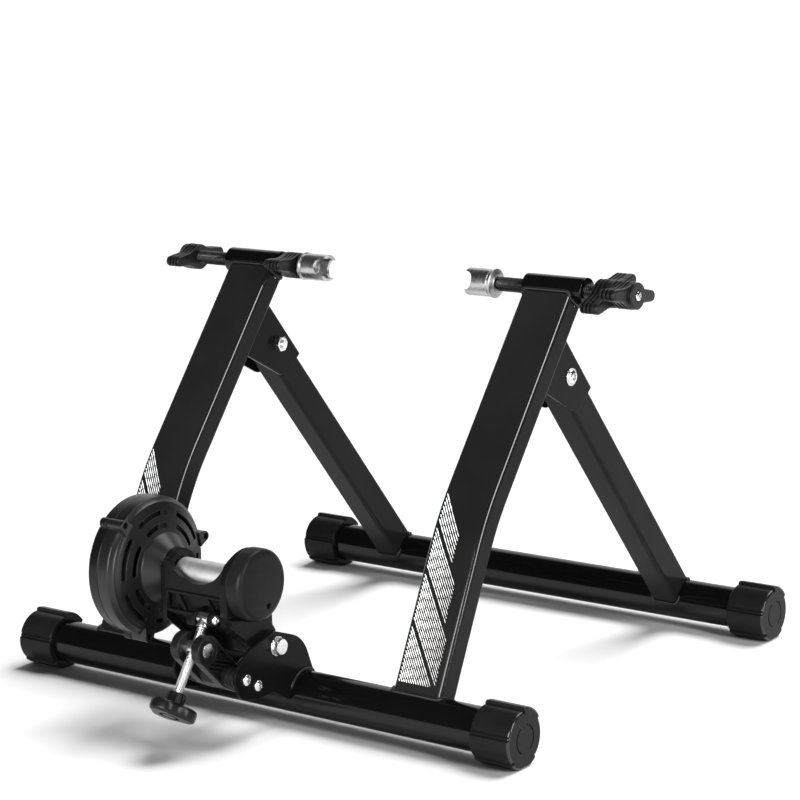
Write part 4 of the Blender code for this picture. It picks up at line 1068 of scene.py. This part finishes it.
unit_plate("unit_plate_right", 42.0, 45.0)
unit_plate("unit_plate_left", -24.0, -21.0)
for tag, x, a0, a1 in (("right_outer", 45.9, 48, 158), ("right_inner", 41.1, 60, 150), ("left_outer", -24.9, 48, 158), ("left_inner", -20.1, 48, 158)):
    path = [(x, p[0], p[1]) for p in arc(0.0, TUBE_Z, TUBE_R + 0.9, a0, a1, 60)]
    bead(f"weld_plate_{tag}", path, 1.75, "rear_frame", pitch=2.4, seed=21.0 + x)

# ---------------------------------------------------------------- lever
LEVER_X = (-20.7, 41.7)
EAR_GAP = 7.0
EAR_T = 8.5


def cheek(sign):
    """One side of the lever: a pocketed arm with slanting ribs and a ringed ear."""
    lobes = [(EAR, 13.0), (SCREW_REAR, 9.8), (SCREW_FRONT, 9.2)]
    outline = hull([q for c, r in lobes for q in circle(c[0], c[1], r, 72)])
    near, far = ROD_X + sign * EAR_GAP, ROD_X + sign * (EAR_GAP + EAR_T)
    x0, x1 = sorted((near, far))
    bm = slab(outline, x0, x1, 0.8)
    # pocket in the outer face, leaving a rim, the ear's ring and four ribs
    inner = hull([q for c, r in ((EAR, 10.6), (SCREW_REAR, 7.2), (SCREW_FRONT, 6.8)) for q in circle(c[0], c[1], r, 60)])
    p0, p1 = sorted((far - sign * 3.4, far + sign * 3.0))
    pocket = prism(inner, p0, p1)
    ring = rod(p0 - 1, p1 + 1, 12.9, 72, EAR)
    pocket = cut(pocket, ring)
    run = Vector(SCREW_REAR) - Vector(EAR)
    along = run.normalized()
    across = Vector((-along.y, along.x))
    for k in range(4):
        c = Vector(EAR) + along * (12.0 + 6.4 * k)
        slant = (along * 0.86 + across * 0.5).normalized()
        off = Vector((-slant.y, slant.x)) * 0.85
        a, b = c - slant * 26 - off, c + slant * 26 + off
        shape = [(c - slant * 26 - off), (c + slant * 26 - off), (c + slant * 26 + off), (c - slant * 26 + off)]
        pocket = cut(pocket, prism([(q.x, q.y) for q in shape], p0 - 1, p1 + 1))
    bm = cut(bm, pocket)
    # shallow ring round the pin
    q0, q1 = sorted((far - sign * 1.3, far + sign * 3.0))
    groove = turned_part([(q0, 8.0, 0), (q0, 10.8, 0), (q1, 10.8, 0), (q1, 8.0, 0)], 72, EAR)
    return cut(bm, groove)


def lever():
    bm = join(cheek(1), cheek(-1))
    core = hull(circle(*SCREW_REAR, 9.4, 60) + circle(*SCREW_FRONT, 8.9, 60) + [(-92.0, 66.0), (-84.0, 74.0)])
    bm = join(bm, slab(core, ROD_X - EAR_GAP - 2.0, ROD_X + EAR_GAP + 2.0, 0.4))
    boss = hull(circle(*SCREW_REAR, 8.4, 60) + circle(*SCREW_FRONT, 7.8, 60))
    st = [(LEVER_X[0], 0.3), (LEVER_X[0] + 0.5, 0.0)]
    for g in (-15.5, -11.5, 30.0, 34.0, 38.0):
        st += [(g - 0.9, 0.0), (g - 0.6, -0.9), (g + 0.6, -0.9), (g + 0.9, 0.0)]
    st += [(LEVER_X[1] - 0.5, 0.0), (LEVER_X[1], 0.3)]
    bm = join(bm, stack(boss, st))
    for centre, r in ((SCREW_REAR, 2.7), (SCREW_FRONT, 2.7)):
        bm = cut(bm, rod(-60, 60, r, 32, centre))
    bm = cut(bm, rod(-60, 60, 6.7, 64, EAR))
    place("adjuster_lever_look", bm, "rear_frame", LEVER, ["adjuster_lever"], sharp=28.0)


lever()


def cross_bolt(name, centre, r, head_r, head_h, flats_nut):
    x0 = 45.3
    tail = -24.3 - flats_nut * 0.42 - 2.0
    shank = turned_part([(tail, 0, 0), (tail, r - 0.1, 0.4), (x0 + 0.4, r - 0.1, 0), (x0 + 0.4, 0, 0)], 36, centre)
    if name == "unit_pivot_bolt":
        washer = turned_part([(x0 - 0.2, 0, 0), (x0 - 0.2, 8.6, 0.3), (x0 + 1.3, 8.6, 0.5), (x0 + 1.3, 0, 0)], 72, centre)
        head = nut(x0 + 1.2, x0 + 6.4, 13.0, 0.0, centre, math.radians(12))
        return place(name + "_look", join(join(head, washer), shank), "rear_frame", BOLT_STEEL, [name])
    head = turned_part([(x0 - 0.1, 0, 0), (x0 - 0.1, head_r, 0.2), (x0 + head_h * 0.5, head_r * 0.97, 1.1), (x0 + head_h, head_r * 0.5, 0.7), (x0 + head_h, 0, 0)], 56, centre)
    head = cut(head, prism(hex_outline(head_r * 0.78, centre), x0 + head_h * 0.4, x0 + head_h + 4))
    return place(name + "_look", join(head, shank), "rear_frame", BOLT_STEEL, [name])


def cross_nut(name, centre, r, flats):
    return place(name + "_look", nut(-24.3 - flats * 0.42, -24.3, flats, r + 0.1, centre, 0.4), "rear_frame", BOLT_STEEL, [name])


cross_bolt("unit_pivot_bolt", TILT, 4.0, 7.2, 5.4, 13.0)
cross_nut("unit_pivot_nut", TILT, 4.0, 13.0)
cross_bolt("lever_bolt_rear", SCREW_REAR, 2.5, 4.9, 3.0, 8.0)
cross_nut("lever_nut_rear", SCREW_REAR, 2.5, 8.0)
cross_bolt("lever_bolt_front", SCREW_FRONT, 2.5, 4.9, 3.0, 8.0)
cross_nut("lever_nut_front", SCREW_FRONT, 2.5, 8.0)

# ---------------------------------------------------------------- resistance unit body
FLANGE_L = (-49.0, -41.0)
FLANGE_R = (24.0, 32.0)


def unit_body():
    right = hull(circle(*ROLLER, 29.8, 96) + circle(*TILT, 12.2, 60) + [(-80.0, 95.0), (-83.0, 100.0)])
    bm = slab(right, FLANGE_R[0], FLANGE_R[1] - 0.1, 1.4)
    left = hull(circle(ROLLER[0], ROLLER[1], 19.5, 72) + [(-73.0, 92.0), (-73.5, 140.0), (-60.0, 85.0), (-42.0, 96.0)])
    bm = join(bm, slab(left, FLANGE_L[0], FLANGE_L[1] + 0.5, 1.0))
    # rear wall: a curved lip over the ribbed recess
    wall = fillet([(-75.6, 120.4, 1.2), (-75.6, 148.5, 2.2), (-70.6, 148.5, 2.2), (-69.8, 104.0, 0.6), (-73.0, 104.0, 0.6), (-73.0, 120.4, 0.6)], 5)
    bm = join(bm, slab(wall, FLANGE_L[1] - 2.0, FLANGE_R[0] + 2.0, 0.3))
    arm = [(-69.0, 121.0, 3), (-76.5, 104.0, 2), (-79.0, 96.0, 4), (-60.0, 85.0, 6), (-44.0, 68.0, 6), (-26.0, 67.5, 8), (-24.0, 82.0, 10), (-34.0, 100.0, 12), (-46.0, 113.0, 6)]
    bm = join(bm, slab(fillet(arm, 8), -17.4, FLANGE_R[0] + 2.0, 1.2))
    shelf = [(-70.0, 117.0, 1), (-74.5, 106.0, 2), (-72.0, 98.0, 3), (-58.0, 95.0, 3), (-50.0, 96.0, 2), (-50.0, 113.0, 2)]
    bm = join(bm, slab(fillet(shelf, 6), FLANGE_L[1] - 1.0, -15.0, 0.8))
    # lower rail of the recess and its ribs
    bm = join(bm, slab(fillet([(-78.6, 103.4, 0.8), (-78.6, 106.2, 0.8), (-71.0, 107.2, 0.2), (-71.0, 103.0, 0.2)], 4), -37.5, FLANGE_R[0] + 1.0, 0.3))
    bm = join(bm, slab(fillet([(-77.43, 119.57, 0.9), (-77.43, 122.41, 0.9), (-72.57, 123.23, 0.2), (-72.57, 118.83, 0.2)], 4), -38.47, FLANGE_R[0] + 1.17, 0.31))

    def rib(x_top, x_low, z_top, z_low, half, y0=-77.2, y1=-71.0):
        b = bmesh.new()
        ring = []
        for y in (y0, y1):
            ring.append([b.verts.new((x_top - half, y, z_top)), b.verts.new((x_top + half, y, z_top)), b.verts.new((x_low + half, y, z_low)), b.verts.new((x_low - half, y, z_low))])
        quads(b, ring, closed=False)
        b.faces.new(ring[0][::-1])
        b.faces.new(ring[1])
        return b

    for x_top, x_low in ((-27.5, -17.5), (5.0, 15.5), (-38.2, -37.2)):
        bm = join(bm, rib(x_top, x_low, 121.0, 104.8, 1.1))
    for x in (-27.0, -4.0):
        bm = join(bm, rib(x, x, 108.5, 104.0, 0.9, -76.2))
    # left edge of the arm, a thin standing rib that runs down to the hub
    edge = [(-77.6, 122.0, 1), (-80.4, 98.0, 3), (-63.5, 83.5, 3), (-46.0, 66.5, 4), (-42.0, 70.5, 2), (-60.0, 89.0, 4), (-74.0, 101.0, 3), (-72.0, 121.0, 1)]
    bm = join(bm, slab(fillet(edge, 6), -39.6, -37.2, 0.4))
    web = [(-71.0, 112.0, 1), (-77.0, 98.0, 3), (-60.5, 86.5, 3), (-45.0, 71.0, 3), (-36.0, 72.0, 3), (-44.0, 100.0, 6), (-58.0, 112.0, 3)]
    bm = join(bm, slab(fillet(web, 6), -38.6, -16.0, 0.6))
    bm = cut(bm, slab(fillet([(-90.0, 101.5, 1), (-73.0, 101.5, 2), (-60.5, 90.5, 3), (-47.0, 76.0, 3), (-47.0, 60.0, 1), (-90.0, 60.0, 1)], 5), -37.1, -18.6, 0.5))
    # slot that clears the left plate and the pivot's nut at every tilt
    bm = cut(bm, slab(fillet([(-68.0, 83.5, 1), (-61.0, 86.0, 2), (-36.5, 93.8, 3), (-18.0, 93.8, 1), (-18.0, 50.0, 1), (-68.0, 50.0, 1)], 5), -33.4, -18.7, 0.5))
    lug = hull(circle(*YOKE, 6.6, 48, 0.13) + [(-71.63, 112.57), (-71.63, 97.43)])
    for x0 in (ROD_X - 10.37, ROD_X + 6.43):
        bm = join(bm, slab(lug, x0, x0 + 3.94, 0.5))
    hub = turned_part([(-20.7, 0, 0), (-20.7, 11.6, 0.8), (41.7, 11.6, 0.8), (41.7, 0, 0)], 80, TILT)
    bm = join(bm, hub)
    # thick outer side of the arm, hollowed round the flywheel cover
    gusset = [(-84.6, 107.5, 5), (-83.4, 99.2, 4), (-47.5, 68.0, 9), (-35.0, 63.4, 11), (-24.0, 70.0, 10), (-25.5, 86.0, 12), (-36.5, 100.5, 5)]
    block = slab(fillet(gusset, 8), 29.7, 37.5, 1.6)
    block = cut(block, rod(FLANGE_R[1] - 0.1, 44.0, 31.9, 160, ROLLER))
    bm = join(bm, block)
    # bores, roller space, seats, cut-out over the roller, room for the yoke
    bm = cut(bm, rod(-60, 60, 4.2, 48, TILT))
    bm = cut(bm, rod(-60, 60, 2.7, 32, YOKE))
    bm = cut(bm, rod(FLANGE_L[1], FLANGE_R[0], 15.5, 96, ROLLER))
    bm = cut(bm, rod(-80, 60, 11.1, 64, ROLLER))
    scoop = rod(-40, 40, 35.5, 160, matrix=Matrix.Rotation(math.radians(90), 4, "Z"))
    bmesh.ops.translate(scoop, verts=scoop.verts, vec=(-7.6, -70.0, 166.0))
    bm = cut(bm, scoop)
    bm = cut(bm, box((ROD_X - 6.4, ROD_X + 6.4), (-99.0, -77.8), (88.0, 113.0)))
    place("unit_body_look", bm, "resistance_unit", BODY, ["unit_body"], sharp=26.0)


unit_body()

# ---------------------------------------------------------------- magnet housing
BOSS_ANGLES = (133, 13, 253)
BOSS_AT = 61.5
SPLIT_X = -84.0
BACK_X = -93.0
NECK_X = -49.3


def boss_at(k):
    a = math.radians(BOSS_ANGLES[k])
    return (ROLLER[0] + BOSS_AT * math.cos(a), ROLLER[1] + BOSS_AT * math.sin(a))


def tab_outline(k, r):
    """A round screw boss that stands out from the rim."""
    a = math.radians(BOSS_ANGLES[k])
    root = [turned([(-7.5, v)], a, boss_at(k))[0] for v in (-r - 2.2, r + 2.2)]
    return hull(circle(*boss_at(k), r, 40) + root)


def front_cover():
    outer = [(-49.3, 19.6), (-50.2, 20.6), (-60.6, 30.4), (-60.9, 30.6), (-61.7, 30.6), (-61.9, 31.2)] + spline([(-62.1, 32.4), (-63.9, 39.5), (-66.8, 50.0), (-68.9, 55.0)], 6)
    outer += [(-69.3, 56.3), (-70.4, 57.0), (-71.6, 58.4), (-73.0, 60.0), (-74.4, 60.5), (-83.2, 60.8), (-84.0, 60.4)]
    inner = [(-84.0, 58.4), (-74.4, 58.0), (-71.4, 55.0), (-69.0, 48.6), (-65.4, 38.2), (-62.0, 29.0), (-59.0, 24.0), (-55.0, 19.0), (-52.2, 18.0), (-52.2, 13.0)]
    profile = [(NECK_X, 13.0)] + outer + inner
    bm = lathe(clean(profile, 0.05), 160, ROLLER)
    for k in range(3):
        bm = join(bm, slab(tab_outline(k, 4.5), SPLIT_X + 0.1, -66.4, 0.8))
    slots = bmesh.new()
    for k in range(6):
        middle = 40 + 60 * k
        for radius, half, width in ((47.2, 20.0, 4.3), (36.6, 18.5, 4.3)):
            ring = arc(ROLLER[0], ROLLER[1], radius + width / 2, middle - half, middle + half, 26)
            tip = (ROLLER[0] + radius * math.cos(math.radians(middle + half)), ROLLER[1] + radius * math.sin(math.radians(middle + half)))
            ring += arc(tip[0], tip[1], width / 2, middle + half, middle + half + 180, 8)[1:-1]
            ring += arc(ROLLER[0], ROLLER[1], radius - width / 2, middle + half, middle - half, 26)
            tip = (ROLLER[0] + radius * math.cos(math.radians(middle - half)), ROLLER[1] + radius * math.sin(math.radians(middle - half)))
            ring += arc(tip[0], tip[1], width / 2, middle - half + 180, middle - half + 360, 8)[1:-1]
            prism(ring, -82.0, -52.0, slots)
    bm = cut(bm, slots)
    holes = bmesh.new()
    for k in range(3):
        rod(-66.3 - 5.0, -60.0, 2.9, 32, boss_at(k), holes)
    bm = cut(bm, holes)
    place("housing_front_cover_look", bm, "resistance_unit", SHELL, ["housing_front_cover"], sharp=26.0)


def rear_cover():
    x = SPLIT_X - 0.3
    outer = [(x, 60.2), (x - 0.5, 60.5), (-94.2, 59.9), (-95.6, 59.0), (-96.6, 57.2), (-97.0, 54.6)]
    profile = [(x, 57.8)] + outer + [
        (-97.0, 46.0), (-96.2, 45.4), (-96.2, 43.6), (-97.0, 43.0), (-97.0, 16.0), (-96.0, 15.2), (-96.0, 0.0),
        (-93.6, 0.0), (-93.6, 53.6), (-92.8, 56.6),
    ]
    bm = lathe(clean(profile, 0.05), 144, ROLLER)
    for k in range(3):
        bm = join(bm, slab(tab_outline(k, 4.5), -92.4, x, 0.8))
    place("housing_rear_cover_look", bm, "resistance_unit", REAR_SHELL, ["housing_rear_cover"], sharp=26.0)


front_cover()
rear_cover()
for k in range(3):
    c = boss_at(k)
    screw = turned_part([(-88.0, 0, 0), (-88.0, 1.4, 0.2), (-71.0, 1.4, 0), (-71.0, 2.6, 0.3), (-69.4, 2.4, 0.5), (-69.4, 0, 0)], 36, c)
    screw = cut(screw, prism(turned([(-1.6, -0.35), (1.6, -0.35), (1.6, 0.35), (-1.6, 0.35)], 0.7 + k, c), -70.3, -65.0))
    place(f"housing_screw_{k + 1}_look", screw, "resistance_unit", DARK_STEEL, [f"housing_screw_{k + 1}"])

RING_X = BACK_X + 2.5 + 0.3
ring = turned_part([(RING_X, 26.0, 0.3), (RING_X, 52.0, 0.3), (RING_X + 2.4, 52.0, 0.3), (RING_X + 2.4, 26.0, 0.3)], 96, ROLLER)
for k in range(8):
    block = fillet([(30, -7, 1.2), (48, -9, 1.2), (48, 9, 1.2), (30, 7, 1.2)], 4)
    ring = join(ring, slab(turned(block, 2 * math.pi * k / 8, ROLLER), RING_X + 2.0, RING_X + 6.4, 0.4))
place("magnet_ring_look", ring, "resistance_unit", ZINC, ["magnet_ring"])

for word, (x0, x1) in (("left", FLANGE_L), ("right", FLANGE_R)):
    mid = (x0 + x1) / 2
    race = [
        (mid - 3.5, 4.3, 0.2), (mid - 3.5, 6.2, 0.2), (mid - 2.9, 6.5, 0.1), (mid - 2.9, 8.9, 0.1), (mid - 3.5, 9.2, 0.2), (mid - 3.5, 11.0, 0.4),
        (mid + 3.5, 11.0, 0.4), (mid + 3.5, 9.2, 0.2), (mid + 2.9, 8.9, 0.1), (mid + 2.9, 6.5, 0.1), (mid + 3.5, 6.2, 0.2), (mid + 3.5, 4.3, 0.2),
    ]
    place(f"bearing_{word}_look", turned_part(race, 72, ROLLER), "resistance_unit", BOLT_STEEL, [f"bearing_{word}"])

# ---------------------------------------------------------------- rotating group
DISC_X = (RING_X + 8.4, RING_X + 11.4)
disc = turned_part([
    (DISC_X[0], 4.3, 0), (DISC_X[0], 53.0, 0.4), (DISC_X[1], 53.0, 0.4), (DISC_X[1], 18.0, 1.0), (DISC_X[1] + 3.0, 14.0, 1.0), (DISC_X[1] + 10.0, 12.0, 0.4), (DISC_X[1] + 10.0, 4.3, 0),
], 120, ROLLER)
for k in range(12):
    vane = fillet([(20.0, -0.9, 0.3), (50.0, -0.9, 0.3), (50.0, 0.9, 0.3), (20.0, 0.9, 0.3)], 2)
    disc = join(disc, slab(turned(vane, 2 * math.pi * k / 12 + 0.2, ROLLER), DISC_X[1] - 0.4, DISC_X[1] + 2.2, 0.2))
place("brake_disc_look", disc, "rotor", DISC_METAL, ["brake_disc"])

place("roller_look", turned_part([(-39.8, 4.3, 0.3), (-39.8, 12.5, 0.9), (22.8, 12.5, 0.9), (22.8, 4.3, 0.3)], 128, ROLLER), "rotor", ROLLER_METAL, ["roller"])
place("roller_shaft_look", turned_part([(RING_X + 7.4, 0, 0), (RING_X + 7.4, 4.0, 0.5), (43.7, 4.0, 0.5), (43.7, 0, 0)], 48, ROLLER), "rotor", ZINC, ["roller_shaft"])
place("flywheel_look", turned_part([(33.0, 4.3, 0), (33.0, 8.0, 0.2), (34.0, 8.0, 0), (34.0, 26.5, 0.5), (39.4, 26.5, 0.5), (39.4, 4.3, 0)], 96, ROLLER), "rotor", ZINC, ["flywheel"])
place("flywheel_nut_look", nut(39.7, 43.0, 13.0, 4.1, ROLLER), "rotor", BOLT_STEEL, ["flywheel_nut"])


def flywheel_cover():
    x0 = FLANGE_R[1] + 0.3
    dome = [(x0 + 10.2, 31.0), (x0 + 12.0, 30.7), (x0 + 13.4, 29.9), (x0 + 14.4, 28.6), (x0 + 15.0, 26.8), (x0 + 15.3, 24.4), (x0 + 15.5, 14.0), (x0 + 15.6, 0.0)]
    profile = [(x0, 28.4), (x0, 30.5), (x0 + 0.5, 31.0)] + dome + [(x0 + 12.8, 0.0), (x0 + 12.8, 24.6), (x0 + 12.0, 27.4), (x0 + 10.4, 28.4)]
    bm = lathe(clean(profile, 0.05), 144, ROLLER)
    bm = cut(bm, rod(x0 + 8, x0 + 22, 2.8, 40, (-46.8, 113.0)))
    place("flywheel_cover_look", bm, "resistance_unit", COVER, ["flywheel_cover"], sharp=26.0)


flywheel_cover()

# ---------------------------------------------------------------- height adjuster
ROD_DIR = Vector((0.0, EAR[0] - YOKE[0], EAR[1] - YOKE[1])).normalized()
# local +X runs down the rod, local Y stays in the plane of the linkage
ALONG = Matrix.Translation((ROD_X, YOKE[0], YOKE[1])) @ Matrix((
    (0.0, 0.0, 1.0, 0.0), (ROD_DIR.y, -ROD_DIR.z, 0.0, 0.0), (ROD_DIR.z, ROD_DIR.y, 0.0, 0.0), (0.0, 0.0, 0.0, 1.0)))


def yoke():
    bm = turned_part([(ROD_X - 6.0, 0, 0), (ROD_X - 6.0, 5.2, 0.6), (ROD_X + 6.0, 5.2, 0.6), (ROD_X + 6.0, 0, 0)], 64, YOKE)
    bm = join(bm, turned_part([(0.0, 0, 0), (0.0, 5.0, 0), (8.6, 5.0, 0.7), (8.6, 0, 0)], 56, matrix=ALONG))
    bm = cut(bm, rod(-20, 40, 2.7, 32, YOKE))
    place("yoke_look", bm, "yoke_body", BOLT_STEEL, ["yoke"])


yoke()
pin = turned_part([(ROD_X - 11.5, 0, 0), (ROD_X - 11.5, 2.4, 0.4), (ROD_X + 10.6, 2.4, 0), (ROD_X + 10.6, 4.8, 0.3), (ROD_X + 12.4, 4.6, 1.0), (ROD_X + 13.6, 2.6, 0.5), (ROD_X + 13.6, 0, 0)], 56, YOKE)
pin = cut(pin, prism(hex_outline(2.6, YOKE), ROD_X + 12.4, ROD_X + 17))
place("yoke_pin_look", pin, "resistance_unit", BOLT_STEEL, ["yoke_pin"])

screw = thread(8.7, 81.0, 4.0, 0.42, 1.25, (0.0, 0.0), n=32, hand=1, matrix=ALONG, rows=7)
place("adjuster_screw_look", screw, "adjuster", ROD_STEEL, ["adjuster_screw"], sharp=60.0, weighted=False)


def adjuster_knob():
    outline = []
    n = 144
    for k in range(n):
        a = 2 * math.pi * k / n
        r = 19.5 - 2.5 * math.cos(3 * a) - 0.35 * math.cos(6 * a)
        outline.append((r * math.cos(a), r * math.sin(a)))
    st = [(77.0, 2.4), (77.25, 1.5), (77.9, 0.75), (78.9, 0.2), (80.0, 0.0), (84.6, 0.0), (85.7, 0.25), (86.7, 0.9), (87.3, 1.9), (87.5, 3.0)]
    bm = stack(outline, st)
    bmesh.ops.transform(bm, matrix=ALONG, verts=bm.verts)
    # hub with fine flutes
    hub = bmesh.new()
    rings = []
    m = 72
    for x, r, deep in ((67.0, 6.6, 0.0), (67.3, 7.4, 0.3), (68.2, 7.7, 0.55), (75.5, 8.3, 0.55), (77.6, 9.6, 0.3), (78.6, 10.4, 0.0)):
        ring = []
        for k in range(m):
            rr = r - (deep if k % 6 < 3 else 0.0)
            ring.append(hub.verts.new((x, rr * math.cos(2 * math.pi * k / m), rr * math.sin(2 * math.pi * k / m))))
        rings.append(ring)
    quads(hub, rings, closed=False)
    hub.faces.new(rings[0][::-1])
    hub.faces.new(rings[-1])
    bmesh.ops.transform(hub, matrix=ALONG, verts=hub.verts)
    bm = join(bm, hub)
    bm = cut(bm, lathe([(60.0, 0), (60.0, 4.15), (81.3, 4.15), (81.3, 0)], 40, matrix=ALONG))
    bm = cut(bm, turned_part([(86.6, 6.0, 0), (86.6, 9.0, 0), (89.0, 9.0, 0), (89.0, 6.0, 0)], 64, matrix=ALONG))
    place("adjuster_knob_look", bm, "adjuster", WHEEL_KNOB, ["adjuster_knob"], sharp=32.0)


adjuster_knob()


def trunnion():
    a, b = ROD_X - EAR_GAP - EAR_T + 0.3, ROD_X + EAR_GAP + EAR_T - 0.3
    bm = turned_part([(a, 0, 0), (a, 6.4, 0.6), (b, 6.4, 0.6), (b, 0, 0)], 72, EAR)
    length = (Vector(EAR) - Vector(YOKE)).length
    bm = cut(bm, lathe([(length - 20.0, 0), (length - 20.0, 4.7), (length + 20.0, 4.7), (length + 20.0, 0)], 48, matrix=ALONG))
    place("trunnion_look", bm, "trunnion_body", BOLT_STEEL, ["trunnion"])


trunnion()

# ================================================================ camera
AZ, EL, ROLL = math.radians(36.61), math.radians(11.481), math.radians(-1.2135)
CAMERA = Vector((1355.81, -1617.61, 701.08))
FOCAL = 2530.73


def camera():
    back = Vector((math.sin(AZ) * math.cos(EL), -math.cos(AZ) * math.cos(EL), math.sin(EL)))
    right = Vector((math.cos(AZ), math.sin(AZ), 0.0))
    up = back.cross(right)
    right, up = right * math.cos(ROLL) + up * math.sin(ROLL), up * math.cos(ROLL) - right * math.sin(ROLL)
    data = bpy.data.cameras.new("camera")
    data.sensor_width = 36.0
    data.sensor_fit = "HORIZONTAL"
    data.lens = FOCAL / 800.0 * 36.0
    data.clip_start = 0.05
    data.clip_end = 200.0
    obj = bpy.data.objects.new("camera", data)
    bpy.context.scene.collection.objects.link(obj)
    turn = Matrix((right, up, back)).transposed().to_4x4()
    obj.matrix_world = Matrix.Translation(TO_SCENE @ CAMERA) @ turn
    bpy.context.scene.camera = obj


camera()


# ================================================================ floor, light, world
def floor():
    mat, tree, bsdf = nodes_of("pale_floor")
    bsdf.inputs["Base Color"].default_value = (0.92, 0.92, 0.92, 1.0)
    bsdf.inputs["Roughness"].default_value = 0.9
    bsdf.inputs["Specular IOR Level"].default_value = 0.2
    mesh = bpy.data.meshes.new("floor")
    size = 30.0
    mesh.from_pydata([(-size, -size, 0), (size, -size, 0), (size, size, 0), (-size, size, 0)], [], [(0, 1, 2, 3)])
    mesh.materials.append(mat)
    obj = bpy.data.objects.new("floor", mesh)
    bpy.context.scene.collection.objects.link(obj)
    return obj


FLOOR = floor()


def area(name, at, target, size, power, size_y=None, shade=(1.0, 1.0, 1.0)):
    data = bpy.data.lights.new(name, "AREA")
    data.energy = power
    data.color = shade
    data.size = size
    if size_y:
        data.shape = "RECTANGLE"
        data.size_y = size_y
    obj = bpy.data.objects.new(name, data)
    bpy.context.scene.collection.objects.link(obj)
    at, target = Vector(at), Vector(target)
    obj.rotation_euler = (at - target).to_track_quat("Z", "Y").to_euler()
    obj.location = at
    obj.visible_camera = False
    return obj


def sun(name, towards, strength, angle):
    data = bpy.data.lights.new(name, "SUN")
    data.energy = strength
    data.angle = math.radians(angle)
    obj = bpy.data.objects.new(name, data)
    bpy.context.scene.collection.objects.link(obj)
    obj.rotation_euler = Vector(towards).to_track_quat("Z", "Y").to_euler()
    return obj


def linked(light, name, state):
    """The floor is the only thing the light reaches, or the only thing it leaves out."""
    group = bpy.data.collections.new(name)
    group.objects.link(FLOOR)
    light.light_linking.receiver_collection = group
    group.collection_objects[0].light_linking.link_state = state


sun("overhead", (0.10, 0.50, 0.90), 1.60, 40.0)
linked(sun("overhead_floor", (0.10, 0.50, 0.90), 2.25, 40.0), "floor_only", "INCLUDE")
area("strip_right", (2.42, -0.45, 1.35), (0.15, 0.05, 0.25), 0.55, 42.0, 1.7)
# the fill lights the object only, so the shadows on the floor keep their depth
linked(area("fill_rear", (0.45, -2.60, 0.85), (0.0, 0.0, 0.2), 2.2, 105.0, 1.4), "fill_leaves_out", "EXCLUDE")


def world():
    scene_world = bpy.data.worlds.new("studio")
    bpy.context.scene.world = scene_world
    scene_world.use_nodes = True
    tree = scene_world.node_tree
    background = tree.nodes["Background"]
    coord = add(tree, "ShaderNodeTexCoord")
    split = add(tree, "ShaderNodeSeparateXYZ")
    tree.links.new(coord.outputs["Generated"], split.inputs["Vector"])
    # bright backdrop beyond the object, fading upwards; dim room behind the camera
    facing = add(tree, "ShaderNodeVectorMath", operation="DOT_PRODUCT")
    facing.inputs[1].default_value = (-0.57, 0.82, 0.0)
    tree.links.new(coord.outputs["Generated"], facing.inputs[0])
    ahead = add(tree, "ShaderNodeMapRange", interpolation_type="SMOOTHSTEP")
    ahead.inputs["From Min"].default_value = 0.50
    ahead.inputs["From Max"].default_value = 0.84
    tree.links.new(facing.outputs["Value"], ahead.inputs["Value"])
    high = add(tree, "ShaderNodeMapRange", interpolation_type="SMOOTHSTEP")
    high.inputs["From Min"].default_value = 0.58
    high.inputs["From Max"].default_value = 0.74
    high.inputs["To Min"].default_value = 1.0
    high.inputs["To Max"].default_value = 0.0
    tree.links.new(split.outputs["Z"], high.inputs["Value"])
    both = add(tree, "ShaderNodeMath", operation="MULTIPLY")
    tree.links.new(ahead.outputs["Result"], both.inputs[0])
    tree.links.new(high.outputs["Result"], both.inputs[1])
    room = add(tree, "ShaderNodeMath", operation="MULTIPLY_ADD")
    room.inputs[1].default_value = 0.96
    room.inputs[2].default_value = 0.04
    tree.links.new(both.outputs["Value"], room.inputs[0])
    tree.links.new(room.outputs["Value"], background.inputs["Strength"])
    background.inputs["Color"].default_value = (1.0, 1.0, 1.0, 1.0)


world()
view = bpy.context.scene.view_settings
view.view_transform = "Standard"
view.look = "None"
view.exposure = 0.0
view.gamma = 1.0

bpy.context.view_layer.update()
